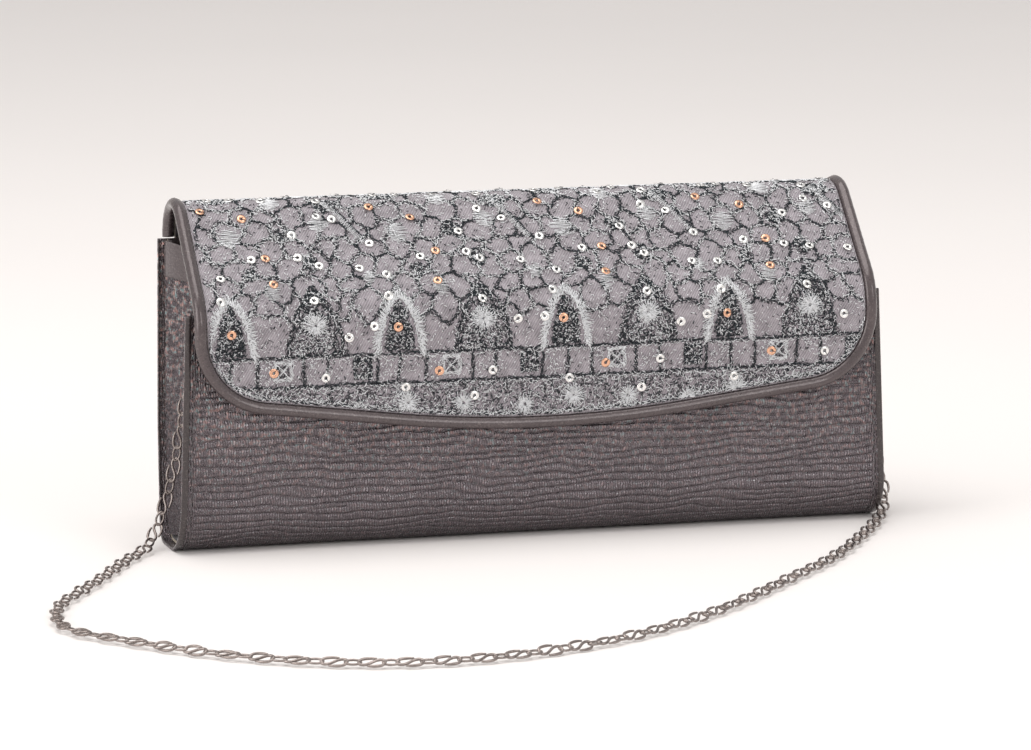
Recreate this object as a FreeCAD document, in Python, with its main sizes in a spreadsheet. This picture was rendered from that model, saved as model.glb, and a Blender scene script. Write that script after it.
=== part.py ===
import FreeCAD, Part
import math
import os

# Evening bag: a stiffened clutch with folded gussets, a curved flap and a loose chain.
# Frame: X to the right, Y to the back, Z up, origin under the middle of the bag. Millimetres.

os.makedirs("parts", exist_ok=True)
doc = FreeCAD.newDocument("EveningBag")
V = FreeCAD.Vector

# ---------------------------------------------------------------- driving dimensions
DIMENSIONS = {
    "bottom_width": 273.0, "top_width": 265.2, "body_top": 110.5, "front_top": 88.5,
    "front_lean": 1.3, "body_depth": 52.0, "depth_centre": 23.85, "floor_depth": 35.0,
    "knee_depth": 44.0, "knee_rise": 43.0, "front_round": 17.0, "back_round": 9.0,
    "knee_round": 120.0, "front_seam": 24.0, "back_seam": 26.0,
    "leather": 1.0, "board": 1.0, "lining": 0.5, "edge_margin": 3.5,
    "roll_width": 2.2, "roll_proud": 0.5, "facing_band": 13.0,
    "gusset_back_top": 110.0, "gusset_fold_top": 106.5, "gusset_front_top": 88.0,
    "gusset_inset": 2.5, "fold_top": 12.0, "fold_foot": 2.0, "fold_full": 60.0,
    "fold_flat": 7.0, "gusset_leather": 0.9, "gusset_lining": 0.4, "gusset_facing": 0.5,
    "gusset_play": 0.15, "fold_least": 0.35,
    "ridge_top": 126.4, "ridge_round": 14.5, "slope_angle": 45.0, "flap_front": 4.3,
    "bend_round": 22.0, "flap_width": 262.0, "flap_tip": 38.7, "flap_shoulder": 55.0,
    "corner_round": 29.0, "tip_round": 450.0, "hinge_gap": 0.7,
    "lace": 0.6, "cover": 0.6, "flap_board": 0.8, "flap_lining": 0.6,
    "piping_round": 2.3, "piping_gap": 0.05,
    "snap_rise": 60.0, "snap_flange": 7.0, "snap_flange_thick": 1.5, "snap_barrel": 3.4,
    "snap_bore": 2.75, "snap_bore_depth": 2.0, "snap_washer": 6.0, "snap_washer_thick": 0.6,
    "stud_disc": 6.5, "stud_disc_thick": 0.5, "stud_foot": 2.0, "stud_tip": 0.9,
    "stud_reach": 1.7, "stud_washer": 4.9, "snap_play": 0.1, "snap_tilt": 0.12,
    "ring_offset": 121.95, "ring_rise": 96.0, "ring_wire": 0.9, "ring_half": 3.0,
    "ring_bend": 3.2, "tab_bore": 1.2, "tab_round": 2.2, "tab_inner": 0.6,
    "tab_rise": 9.5, "tab_width": 5.0, "link_wire": 0.5, "link_bend": 1.7, "link_run": 3.5,
    "chain_diameter": 4.5, "chain_gap": 0.7, "chain_clear": 0.15,
    "pocket_width": 150.0, "pocket_foot": 34.0, "pocket_top": 92.0, "pocket_cloth": 0.5,
    "pocket_hem": 6.0, "pocket_binding": 0.5,
}

sheet = doc.addObject("Spreadsheet::Sheet", "Dimensions")
for row, (name, value) in enumerate(DIMENSIONS.items(), start=1):
    sheet.set(f"A{row}", name)
    sheet.set(f"B{row}", str(value))
    sheet.setAlias(f"B{row}", name)
doc.recompute()


def dim(name):
    """One driving dimension, read back from the sheet."""
    return float(sheet.get(name))


# Cutting shapes run from below the bag to above it.
CUT_FOOT = -10.0
CUT_HEAD = 200.0


# ---------------------------------------------------------------- geometry helpers
def shifted(corners, distance):
    """Corners (u, v, radius) of an open path, moved to the left of its travel by a distance."""
    moved = []
    count = len(corners)
    for i, (u, v, radius) in enumerate(corners):
        here = V(u, v, 0)
        before = V(*corners[max(i - 1, 0)][:2], 0)
        after = V(*corners[min(i + 1, count - 1)][:2], 0)
        into = (here - before if i else after - here).normalize()
        out = (after - here if i < count - 1 else here - before).normalize()
        normal = V(-into.y - out.y, into.x + out.x, 0).normalize()
        reach = distance / (normal.x * -into.y + normal.y * into.x)
        spot = here + normal * reach
        turn = into.x * out.y - into.y * out.x
        moved.append((spot.x, spot.y, radius - math.copysign(distance, turn) if radius else 0))
    return moved


def rounded_edges(points, radii):
    """Straight runs joined by tangent arcs through the corners of a path in space."""
    edges = []
    last = points[0]
    for before, here, after, radius in zip(points, points[1:], points[2:], radii):
        into = (before - here).normalize()
        out = (after - here).normalize()
        half = into.getAngle(out) / 2
        reach = radius / math.tan(half)
        middle = (into + out).normalize()
        start = here + into * reach
        end = here + out * reach
        peak = here + middle * (radius / math.sin(half) - radius)
        edges.append(Part.LineSegment(last, start))
        edges.append(Part.Arc(start, peak, end))
        last = end
    edges.append(Part.LineSegment(last, points[-1]))
    return edges


def flat_edges(corners):
    """Lines and arcs of a flat path of (u, v, radius) corners."""
    points = [V(u, v, 0) for u, v, _ in corners]
    edges = []
    run = [points[0]]
    radii = []
    for i in range(1, len(points)):
        run.append(points[i])
        if i == len(points) - 1 or not corners[i][2]:
            edges += rounded_edges(run, radii)
            run = [points[i]]
            radii = []
        else:
            radii.append(corners[i][2])
    return edges


def band_outline(corners, outer, inner):
    """Closed outline of the layer between two depths under an open path."""
    outside = shifted(corners, outer)
    inside = shifted(corners, inner)
    loop = flat_edges(outside)
    loop.append(Part.LineSegment(V(*outside[-1][:2], 0), V(*inside[-1][:2], 0)))
    loop += flat_edges(inside)
    loop.append(Part.LineSegment(V(*inside[0][:2], 0), V(*outside[0][:2], 0)))
    return loop


def box_outline(low_u, low_v, high_u, high_v):
    """Four sides of a rectangle."""
    corners = [V(low_u, low_v, 0), V(high_u, low_v, 0), V(high_u, high_v, 0), V(low_u, high_v, 0)]
    return [Part.LineSegment(corners[i], corners[(i + 1) % 4]) for i in range(4)]


def sketch_on(body, name, plane, outline):
    """A sketch of the outline on one of the body's own origin planes."""
    sketch = body.newObject("Sketcher::SketchObject", name)
    flat = [item for item in body.Origin.OriginFeatures if item.Role == plane][0]
    sketch.AttachmentSupport = [(flat, "")]
    sketch.MapMode = "FlatFace"
    sketch.addGeometry(outline, False)
    return sketch


def add_pad(body, sketch, length):
    """Material on both sides of a sketch, its length an expression on the sheet."""
    pad = body.newObject("PartDesign::Pad", f"{body.Name}_pad")
    pad.Profile = sketch
    pad.SideType = "Symmetric"
    pad.setExpression("Length", length)
    doc.recompute()
    return pad


def cut_through(body, sketch):
    """Everything inside a sketch removed, on both sides of it."""
    before = body.Shape.Volume
    pocket = body.newObject("PartDesign::Pocket", f"{sketch.Name}_cut")
    pocket.Profile = sketch
    pocket.Type = "ThroughAll"
    pocket.Midplane = True
    doc.recompute()
    assert body.Shape.Volume < before, f"{sketch.Name} cuts nothing"
    return pocket


def new_body(name):
    """A PartDesign body that carries its node's name."""
    body = doc.addObject("PartDesign::Body", name)
    body.Label = name
    nodes.append(body)
    return body


def new_feature(name, shape):
    """A sub-part whose shape is made by Part's own functions."""
    feature = doc.addObject("Part::Feature", name)
    feature.Shape = shape
    feature.Label = name
    nodes.append(feature)
    return feature


def swept(edges, radius):
    """A round bar along a path of lines and arcs."""
    path = Part.Wire([edge.toShape() for edge in edges])
    start = path.Edges[0]
    ring = Part.Wire(Part.makeCircle(radius, start.valueAt(start.FirstParameter),
                                     start.tangentAt(start.FirstParameter)))
    return path.makePipeShell([ring], True, False)


nodes = []

# ---------------------------------------------------------------- the side profile
CENTRE = dim("depth_centre")


def profile_point(depth, rise, radius=0.0):
    """A corner of the side profile, its depth counted from the front's foot."""
    return (depth - CENTRE, rise, radius)


def between(first, second, rise):
    """The place on the line between two corners at a height."""
    share = (rise - first[1]) / (second[1] - first[1])
    return (first[0] + share * (second[0] - first[0]), rise, 0.0)


front_head = profile_point(dim("front_lean"), dim("front_top"))
front_foot = profile_point(0.0, 0.0, dim("front_round"))
back_foot = profile_point(dim("floor_depth"), 0.0, dim("back_round"))
knee = profile_point(dim("knee_depth"), dim("knee_rise"), dim("knee_round"))
back_head = profile_point(dim("body_depth"), dim("body_top"))
front_join = between(front_head, front_foot, dim("front_seam"))
back_join = between(back_foot, knee, dim("back_seam"))

FRONT = [front_head, front_join]
BASE = [front_join, front_foot, back_foot, back_join]
BACK = [back_join, knee, back_head]

LEATHER = dim("leather")
BOARD = LEATHER + dim("board")
LINING = BOARD + dim("lining")


def half_width(rise):
    """Half the body's width at a height: the sides lean in towards the top."""
    low = dim("bottom_width") / 2
    high = dim("top_width") / 2
    return low + (high - low) * rise / dim("body_top")


def side_wedge(side, inset):
    """The outline beyond one leaning side of the body."""
    foot = CUT_FOOT
    head = CUT_HEAD
    far = dim("bottom_width")
    corners = [V(side * (half_width(foot) - inset), foot, 0), V(side * (half_width(head) - inset), head, 0),
               V(side * far, head, 0), V(side * far, foot, 0)]
    return [Part.LineSegment(corners[i], corners[(i + 1) % 4]) for i in range(4)]


def make_panel(name, path, outer, inner, inset):
    """One layer of the wall along part of the side profile."""
    body = new_body(name)
    layer = sketch_on(body, f"{name}_section", "YZ_Plane", band_outline(path, outer, inner))
    body.Tip = add_pad(body, layer, "Dimensions.bottom_width")
    wedges = sketch_on(body, f"{name}_sides", "XZ_Plane", side_wedge(-1, inset) + side_wedge(1, inset))
    body.Tip = cut_through(body, wedges)
    return body


def pierce(body, rise, radius):
    """A round hole through a layer, from front to back."""
    hole = sketch_on(body, f"{body.Name}_hole", "XZ_Plane", [Part.Circle(V(0, rise, 0), V(0, 0, 1), radius)])
    body.Tip = cut_through(body, hole)


# ---------------------------------------------------------------- walls
MARGIN = dim("edge_margin")
facing_foot = dim("front_top") - dim("facing_band")
back_facing_foot = dim("body_top") - dim("facing_band")

front_panel = make_panel("front_panel", FRONT, 0.0, LEATHER, 0.0)
pierce(front_panel, dim("snap_rise"), dim("snap_barrel") + dim("snap_play"))
make_panel("base_panel", BASE, 0.0, LEATHER, 0.0)
make_panel("back_panel", BACK, 0.0, LEATHER, 0.0)

front_board = make_panel("front_board", FRONT, LEATHER, BOARD, MARGIN)
pierce(front_board, dim("snap_rise"), dim("snap_washer") + dim("snap_play"))
make_panel("base_board", BASE, LEATHER, BOARD, MARGIN)
make_panel("back_board", BACK, LEATHER, BOARD, MARGIN)

front_band = [front_head, between(front_head, front_foot, facing_foot)]
front_below = [front_band[1], front_join]
back_band = [between(knee, back_head, back_facing_foot), back_head]
back_below = [back_join, knee, back_band[0]]
make_panel("front_facing", front_band, BOARD, LINING, MARGIN)
make_panel("back_facing", back_band, BOARD, LINING, MARGIN)
make_panel("front_lining", front_below, BOARD, LINING, MARGIN)
make_panel("base_lining", BASE, BOARD, LINING, MARGIN)
make_panel("back_lining", back_below, BOARD, LINING, MARGIN)


def make_edge_roll(name, path, side):
    """The turned and stitched edge that stands proud along one side of a panel."""
    body = new_body(name)
    layer = sketch_on(body, f"{name}_section", "YZ_Plane", band_outline(path, -dim("roll_proud"), 0.0))
    body.Tip = add_pad(body, layer, "Dimensions.bottom_width")
    inner = dim("roll_width")
    foot = CUT_FOOT
    head = CUT_HEAD
    far = dim("bottom_width")
    corners = [V(side * (half_width(foot) - inner), foot, 0), V(side * (half_width(head) - inner), head, 0),
               V(-side * far, head, 0), V(-side * far, foot, 0)]
    rest = [Part.LineSegment(corners[i], corners[(i + 1) % 4]) for i in range(4)]
    waste = sketch_on(body, f"{name}_waste", "XZ_Plane", rest + side_wedge(side, 0.0))
    body.Tip = cut_through(body, waste)


for word, side in (("left", -1), ("right", 1)):
    make_edge_roll(f"front_edge_roll_{word}", FRONT, side)
    make_edge_roll(f"back_edge_roll_{word}", BACK, side)

# The slip pocket lies flat against the back lining, stitched at its sides and foot.
pocket_low = between(back_foot, knee, dim("pocket_foot"))
pocket_high = between(knee, back_head, dim("pocket_top"))
hem_low = between(knee, back_head, dim("pocket_top") - dim("pocket_hem"))
CLOTH = LINING + dim("pocket_cloth")


def make_pocket_layer(name, path, outer, inner):
    """A layer of the pocket, as wide as the pocket."""
    body = new_body(name)
    layer = sketch_on(body, f"{name}_section", "YZ_Plane", band_outline(path, outer, inner))
    body.Tip = add_pad(body, layer, "Dimensions.pocket_width")


make_pocket_layer("slip_pocket", [pocket_low, knee, pocket_high], LINING, CLOTH)
make_pocket_layer("pocket_binding", [hem_low, pocket_high], CLOTH, CLOTH + dim("pocket_binding"))

# ---------------------------------------------------------------- gussets
front_above = between(front_head, front_foot, dim("body_top"))
whole_profile = [front_above, front_foot, back_foot, knee, back_head]
inner_path = flat_edges(shifted(whole_profile, LINING + dim("gusset_play")))
inner_wall = Part.Wire([edge.toShape() for edge in inner_path])


def wall_gap(rise):
    """The inner faces of the front and back walls at a height, as two depths."""
    reach = dim("bottom_width")
    level = Part.makeLine(V(-reach, rise, 0), V(reach, rise, 0))
    found = sorted(vertex.X for vertex in inner_wall.section(level).Vertexes)
    return found[0], found[-1]


def below(rise, top):
    """A level of the back edge, brought down in proportion for an edge that ends lower."""
    start = dim("fold_full")
    if rise <= start:
        return rise
    return start + (rise - start) * (top - start) / (dim("gusset_back_top") - start)


def gusset_section(side, rise, outer, inner):
    """One level of a box-folded gusset: two wings and the flat between them."""
    front_rise = below(rise, dim("gusset_front_top"))
    fold_rise = below(rise, dim("gusset_fold_top"))
    front = wall_gap(front_rise)[0]
    back = wall_gap(rise)[1]
    middle = sum(wall_gap(fold_rise)) / 2
    share = min(rise / dim("fold_full"), 1.0)
    fold = dim("fold_foot") + (dim("fold_top") - dim("fold_foot")) * share
    flat = min(dim("fold_flat"), (back - front) / 4) * max(share, dim("fold_least"))
    inset = dim("gusset_inset")
    line = [(half_width(front_rise) - inset, front, front_rise),
            (half_width(fold_rise) - inset - fold, middle - flat, fold_rise),
            (half_width(fold_rise) - inset - fold, middle + flat, fold_rise),
            (half_width(rise) - inset, back, rise)]
    outside = [V(side * (across - outer), depth, height) for across, depth, height in line]
    inside = [V(side * (across - inner), depth, height) for across, depth, height in reversed(line)]
    return outside + inside


def stacked_solid(sections):
    """A closed solid through folded levels, each its outer corners and then its inner ones."""
    count = len(sections[0])
    half = count // 2
    loops = []
    for section in (sections[0], sections[-1]):
        for i in range(half - 1):
            loops.append((section[i], section[i + 1], section[count - 2 - i], section[count - 1 - i]))
    for low, high in zip(sections, sections[1:]):
        for i in range(count):
            j = (i + 1) % count
            if i < half:
                loops += [(low[i], low[j], high[j]), (low[i], high[j], high[i])]
            else:
                loops += [(low[i], low[j], high[i]), (low[j], high[j], high[i])]
    shell = Part.Shell([Part.Face(Part.makePolygon([*loop, loop[0]])) for loop in loops])
    shell.sewShape()
    solid = Part.Solid(shell)
    if solid.Volume < 0:
        solid.reverse()
    return solid


def make_gusset_layer(name, side, levels, outer, inner):
    """A layer of the gusset through its levels."""
    sections = [gusset_section(side, rise, outer, inner) for rise in levels]
    return new_feature(name, stacked_solid(sections))


GUSSET = dim("gusset_leather")
band_foot = dim("gusset_back_top") - dim("facing_band")
lined_levels = [3.4, 6.0, 11.0, 18.0, 30.0, 45.0, 60.0, 85.0, band_foot]
band_levels = [band_foot, dim("gusset_back_top")]
for word, side in (("left", -1), ("right", 1)):
    make_gusset_layer(f"gusset_{word}", side, lined_levels + band_levels[1:], 0.0, GUSSET)
    make_gusset_layer(f"gusset_lining_{word}", side, lined_levels, GUSSET, GUSSET + dim("gusset_lining"))
    make_gusset_layer(f"gusset_facing_{word}", side, band_levels, -dim("gusset_facing"), 0.0)

# ---------------------------------------------------------------- flap
slope = math.radians(dim("slope_angle"))
ridge_depth = dim("body_depth") - dim("ridge_round")
touch_depth = ridge_depth - dim("ridge_round") * math.sin(slope)
touch_rise = dim("ridge_top") - dim("ridge_round") * (1 - math.cos(slope))
crown_rise = touch_rise + (dim("body_depth") - touch_depth) * math.tan(slope)
brow_rise = touch_rise - (touch_depth + dim("flap_front")) * math.tan(slope)
flap_start = dim("body_top") + dim("hinge_gap")
FLAP_FOOT = 20.0

FLAP = [profile_point(dim("body_depth"), flap_start),
        profile_point(dim("body_depth"), crown_rise, dim("ridge_round")),
        profile_point(-dim("flap_front"), brow_rise, dim("bend_round")),
        profile_point(-dim("flap_front"), FLAP_FOOT)]


def flap_edge(inset):
    """The flap's front outline, from the top left round the lower edge to the top right."""
    half = dim("flap_width") / 2
    head = CUT_HEAD
    corners = [(-half, head, 0.0), (-half, dim("flap_shoulder"), dim("corner_round")),
               (0.0, dim("flap_tip"), dim("tip_round")),
               (half, dim("flap_shoulder"), dim("corner_round")), (half, head, 0.0)]
    return shifted(corners, inset)


def make_flap_layer(name, outer, inner, inset):
    """One layer of the flap, from the hinge over the ridge to the lower edge."""
    body = new_body(name)
    layer = sketch_on(body, f"{name}_section", "YZ_Plane", band_outline(FLAP, outer, inner))
    body.Tip = add_pad(body, layer, "Dimensions.bottom_width")
    edge = flap_edge(inset)
    far = dim("bottom_width")
    head = edge[0][1]
    around = [V(edge[-1][0], head, 0), V(far, head, 0), V(far, 0, 0), V(-far, 0, 0),
              V(-far, head, 0), V(edge[0][0], head, 0)]
    waste = flat_edges(edge) + [Part.LineSegment(a, b) for a, b in zip(around, around[1:])]
    body.Tip = cut_through(body, sketch_on(body, f"{name}_waste", "XZ_Plane", waste))
    return body


LACE = dim("lace")
COVER = LACE + dim("cover")
FLAP_BOARD = COVER + dim("flap_board")
FLAP_LINING = FLAP_BOARD + dim("flap_lining")
PIPING = dim("piping_round")
under_piping = 2 * PIPING + dim("piping_gap")

make_flap_layer("flap_lace", 0.0, LACE, under_piping)
make_flap_layer("flap_cover", LACE, COVER, under_piping)
flap_board = make_flap_layer("flap_board", COVER, FLAP_BOARD, under_piping)
pierce(flap_board, dim("snap_rise"), dim("stud_washer") + dim("snap_play"))
flap_lining = make_flap_layer("flap_lining", FLAP_BOARD, FLAP_LINING, under_piping)
pierce(flap_lining, dim("snap_rise"), dim("stud_foot") + dim("snap_play"))

# The piping runs up from the hinge, over both sides of the ridge and round the lower edge.
piping_side = shifted(FLAP, FLAP_LINING / 2)
piping_front = shifted(flap_edge(0.0), PIPING)
side_x = dim("flap_width") / 2 - PIPING
front_y = piping_side[2][0]
rise_points = [V(0, u, v) for u, v, _ in piping_side[:3]]
left_leg = [V(-side_x, point.y, point.z) for point in rise_points]
right_leg = [V(side_x, point.y, point.z) for point in reversed(rise_points)]
lower = [V(u, front_y, v) for u, v, _ in piping_front[1:4]]
leg_radii = [radius for _, _, radius in piping_side[1:3]]
piping_radii = leg_radii + [radius for _, _, radius in piping_front[1:4]] + leg_radii[::-1]
new_feature("flap_piping", swept(rounded_edges(left_leg + lower + right_leg, piping_radii), PIPING))


# ---------------------------------------------------------------- magnetic snap
def disc(name, radius, thick, depth, tip=None):
    """A round piece on the snap's axis: a cylinder, or a cone when a tip radius is given."""
    kind = "Part::Cone" if tip else "Part::Cylinder"
    item = doc.addObject(kind, name)
    item.setExpression("Radius1" if tip else "Radius", radius)
    if tip:
        item.setExpression("Radius2", tip)
    item.setExpression("Height", thick)
    turned = FreeCAD.Rotation(V(1, 0, 0), -90)
    item.Placement = FreeCAD.Placement(V(0, depth - CENTRE, dim("snap_rise")), turned)
    return item


def joined(kind, name, first, second):
    """A boolean of two pieces."""
    item = doc.addObject(kind, name)
    item.Base = first
    item.Tool = second
    item.Label = name
    return item


D = "Dimensions."
panel_depth = dim("front_lean") * dim("snap_rise") / dim("front_top") - dim("snap_tilt")
flange_depth = panel_depth - dim("snap_flange_thick")
board_back = panel_depth + BOARD
flange = disc("socket_flange", D + "snap_flange", D + "snap_flange_thick", flange_depth)
barrel = disc("socket_barrel", D + "snap_barrel", f"{D}leather + {D}board", panel_depth)
bore = disc("socket_bore", D + "snap_bore", D + "snap_bore_depth", flange_depth)
blank = joined("Part::Fuse", "socket_blank", flange, barrel)
nodes.append(joined("Part::Cut", "snap_socket", blank, bore))

washer_depth = board_back - dim("snap_washer_thick")
washer = disc("washer_disc", D + "snap_washer", D + "snap_washer_thick", washer_depth)
washer_hole = disc("washer_hole", f"{D}snap_barrel + {D}snap_play / 2", D + "snap_washer_thick",
                   washer_depth)
nodes.append(joined("Part::Cut", "socket_washer", washer, washer_hole))

lining_face = FLAP_LINING - dim("flap_front")
stud_face = lining_face + dim("stud_disc_thick")
stud_plate = disc("stud_plate", D + "stud_disc", D + "stud_disc_thick", lining_face)
stud_shank = disc("stud_shank", D + "stud_foot", f"{D}flap_lining + {D}flap_board", COVER - dim("flap_front"))
stud_cone = disc("stud_cone", D + "stud_foot", D + "stud_reach", stud_face, tip=D + "stud_tip")
stud_base = joined("Part::Fuse", "stud_base", stud_plate, stud_shank)
nodes.append(joined("Part::Fuse", "snap_stud", stud_base, stud_cone))

plate = disc("stud_washer_disc", D + "stud_washer", D + "flap_board", COVER - dim("flap_front"))
plate_hole = disc("stud_washer_hole", f"{D}stud_foot + {D}snap_play / 2", D + "flap_board",
                  COVER - dim("flap_front"))
nodes.append(joined("Part::Cut", "stud_washer", plate, plate_hole))

# ---------------------------------------------------------------- rings and their tabs
RING_X = dim("ring_offset")
RING_Z = dim("ring_rise")
RING_Y = (wall_gap(RING_Z)[0] + wall_gap(RING_Z)[1]) / 2


def oval(centre, half, bend, along, down):
    """A closed path of two straight sides and two half circles, its first side through the centre."""
    middle = centre + down * bend
    corner = [centre - along * half, centre + along * half,
              centre + along * half + down * (2 * bend), centre - along * half + down * (2 * bend)]
    return [Part.LineSegment(corner[0], corner[1]),
            Part.Arc(corner[1], middle + along * (half + bend), corner[2]),
            Part.LineSegment(corner[2], corner[3]),
            Part.Arc(corner[3], middle - along * (half + bend), corner[0])]


def make_tab(name, side):
    """The leather tab: two plies closed round the ring's upper bar."""
    body = new_body(name)
    bore_round = dim("tab_bore")
    tube = dim("tab_round")
    ply = dim("tab_inner")
    head = dim("tab_rise")
    meet = math.sqrt(tube ** 2 - ply ** 2)
    x = side * RING_X
    inward = -side
    near = V(x + inward * tube, RING_Z, 0)
    near_top = V(x + inward * tube, RING_Z + head, 0)
    ply_top = V(x + inward * ply, RING_Z + head, 0)
    ply_foot = V(x + inward * ply, RING_Z + meet, 0)
    outer = V(x - inward * tube, RING_Z, 0)
    shoulder = V(x - inward * tube / math.sqrt(2), RING_Z + tube / math.sqrt(2), 0)
    outline = [Part.LineSegment(ply_top, near_top),
               Part.LineSegment(near_top, near),
               Part.Arc(near, V(x, RING_Z - tube, 0), outer),
               Part.Arc(outer, shoulder, ply_foot),
               Part.LineSegment(ply_foot, ply_top),
               Part.Circle(V(x, RING_Z, 0), V(0, 0, 1), bore_round)]
    sketch = sketch_on(body, f"{name}_outline", "XZ_Plane", outline)
    body.Tip = add_pad(body, sketch, "Dimensions.tab_width")
    body.Placement = FreeCAD.Placement(V(0, RING_Y, 0), FreeCAD.Rotation())


link_top = RING_Z - 2 * dim("ring_bend")
link_foot = link_top - dim("link_run") - dim("link_bend") - dim("link_wire")
for word, side in (("left", -1), ("right", 1)):
    make_tab(f"ring_tab_{word}", side)
    hung = V(side * RING_X, RING_Y, RING_Z)
    new_feature(f"ring_{word}", swept(oval(hung, dim("ring_half"), dim("ring_bend"), V(0, 1, 0), V(0, 0, -1)),
                                      dim("ring_wire")))
    bar = V(side * (RING_X - dim("link_bend")), RING_Y, link_top - dim("link_run") / 2)
    new_feature(f"end_link_{word}", swept(oval(bar, dim("link_run") / 2, dim("link_bend"), V(0, 0, 1),
                                               V(side, 0, 0)), dim("link_wire")))

# ---------------------------------------------------------------- chain
CHAIN = dim("chain_diameter")
ON_FLOOR = CHAIN / 2 + dim("chain_clear")
chain_head = link_foot - dim("chain_gap")
CHAIN_ROUTE = [
    (-RING_X, RING_Y, chain_head), (-124.6, 1.4, 68.5), (-129.0, 0.4, 53.0), (-131.2, 0.9, 38.0),
    (-134.4, 0.2, 23.5), (-140.2, -2.0, 10.5), (-147.5, -13.0, ON_FLOOR), (-159.0, -31.5, ON_FLOOR),
    (-170.5, -56.5, ON_FLOOR), (-183.0, -79.5, ON_FLOOR), (-196.5, -102.5, ON_FLOOR),
    (-206.5, -125.0, ON_FLOOR), (-205.5, -148.5, ON_FLOOR), (-189.0, -169.5, ON_FLOOR),
    (-165.5, -196.0, ON_FLOOR), (-136.0, -219.5, ON_FLOOR), (-101.0, -231.0, ON_FLOOR),
    (-64.0, -227.5, ON_FLOOR), (-28.5, -213.5, ON_FLOOR), (4.5, -190.5, ON_FLOOR),
    (34.5, -161.0, ON_FLOOR), (62.5, -128.5, ON_FLOOR), (90.0, -97.5, ON_FLOOR), (111.0, -65.0, ON_FLOOR),
    (132.0, -34.5, ON_FLOOR), (146.0, -11.5, 4.6), (148.5, 1.5, 17.5), (143.5, 3.0, 34.0),
    (135.5, 1.8, 51.0), (126.5, 1.2, 67.5), (RING_X, RING_Y, chain_head),
]


# The share of its shorter run that each arc of the chain's tube takes.
ARC_SHARE = 0.45


def cord_radii(points):
    """Arc radii that fill the runs: a share of the shorter run over the tangent of half the turn."""
    radii = []
    for before, here, after in zip(points, points[1:], points[2:]):
        turn = (here - before).getAngle(after - here)
        shorter = min((here - before).Length, (after - here).Length)
        radii.append(ARC_SHARE * shorter / math.tan(turn / 2))
    return radii


route = [V(*place) for place in CHAIN_ROUTE]
chain_radii = cord_radii(route)
chain_path = rounded_edges(route, chain_radii)
chain_length = sum(edge.length() for edge in chain_path)
chain = new_feature("chain", swept(chain_path, CHAIN / 2))
share = chain.Shape.Volume / (chain_length * math.pi * CHAIN ** 2 / 4)
print("chain length", round(chain_length, 1), "volume over section times length", round(share, 4))
print("chain radii over diameter", [round(radius / CHAIN, 1) for radius in chain_radii])
print("chain runs", [round((b - a).Length, 1) for a, b in zip(route, route[1:])])

# ---------------------------------------------------------------- check and write
doc.recompute()
for item in doc.Objects:
    assert not {"Invalid", "Error"} & set(item.State), f"{item.Name} failed"
for node in nodes:
    assert not node.Shape.isNull() and node.Shape.isValid(), f"{node.Label} has no valid shape"
    assert len(node.Shape.Solids) >= 1 and node.Shape.Volume > 0, f"{node.Label} is not solid"
    node.Shape.exportStep(f"parts/{node.Label}.step")
print(len(nodes), "nodes; ring depth", round(RING_Y, 3))
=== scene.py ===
"""Evening clutch: the visible pieces of a stiffened bag with a lace-covered flap and a scroll-link chain."""
import math

import bpy
import numpy as np
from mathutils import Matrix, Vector


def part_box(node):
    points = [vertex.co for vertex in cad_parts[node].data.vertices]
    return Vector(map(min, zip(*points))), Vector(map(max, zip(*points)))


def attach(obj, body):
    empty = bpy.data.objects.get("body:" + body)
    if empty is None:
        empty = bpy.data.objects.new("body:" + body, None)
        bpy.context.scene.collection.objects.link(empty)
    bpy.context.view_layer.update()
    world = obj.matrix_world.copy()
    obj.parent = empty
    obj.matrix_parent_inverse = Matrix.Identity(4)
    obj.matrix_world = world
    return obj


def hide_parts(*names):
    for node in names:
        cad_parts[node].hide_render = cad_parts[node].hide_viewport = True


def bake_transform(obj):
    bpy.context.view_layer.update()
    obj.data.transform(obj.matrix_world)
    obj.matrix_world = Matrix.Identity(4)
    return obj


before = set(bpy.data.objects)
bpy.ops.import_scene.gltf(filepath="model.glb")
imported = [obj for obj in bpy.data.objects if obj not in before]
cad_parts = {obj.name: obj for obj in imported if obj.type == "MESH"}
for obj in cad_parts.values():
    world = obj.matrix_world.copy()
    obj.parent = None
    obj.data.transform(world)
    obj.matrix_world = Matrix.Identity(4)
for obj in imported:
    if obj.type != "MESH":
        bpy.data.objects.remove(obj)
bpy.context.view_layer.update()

bl_info = {
    "name": "Evening Clutch Maker",
    "version": (1, 0, 0),
    "blender": (4, 5, 0),
    "location": "View3D > Sidebar > Clutch",
    "description": "Makes the skin, flap, lace, piping, lining, chain and stage of an evening clutch",
    "category": "Object",
}

MM = 0.001
LEATHER, BOARD, LINING = 1.0, 2.0, 2.5
CENTRE = 23.85
FRONT_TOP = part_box("front_panel")[1].z / MM
BACK_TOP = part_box("back_panel")[1].z / MM
HALF_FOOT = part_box("base_panel")[1].x / MM
HALF_TOP = HALF_FOOT - 3.9
RING_X = (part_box("ring_right")[0].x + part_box("ring_right")[1].x) / 2 / MM
RING_Y = (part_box("ring_right")[0].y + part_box("ring_right")[1].y) / 2 / MM
RING_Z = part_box("ring_right")[1].z / MM - 0.9
PIPING_RADIUS = 2.3
COVER_INSET = 4.65


# ------------------------------------------------------------------ properties
def length(name, description, millimetres):
    """A length that a user may change, in metres on the panel."""
    return bpy.props.FloatProperty(name=name, description=description, default=millimetres * MM,
                                   min=0.0, unit="LENGTH", precision=5)


def colour(name, description, red, green, blue):
    """A colour that a user may change."""
    return bpy.props.FloatVectorProperty(name=name, description=description, subtype="COLOR", size=3,
                                         min=0.0, max=1.0, default=(red, green, blue))


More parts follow.
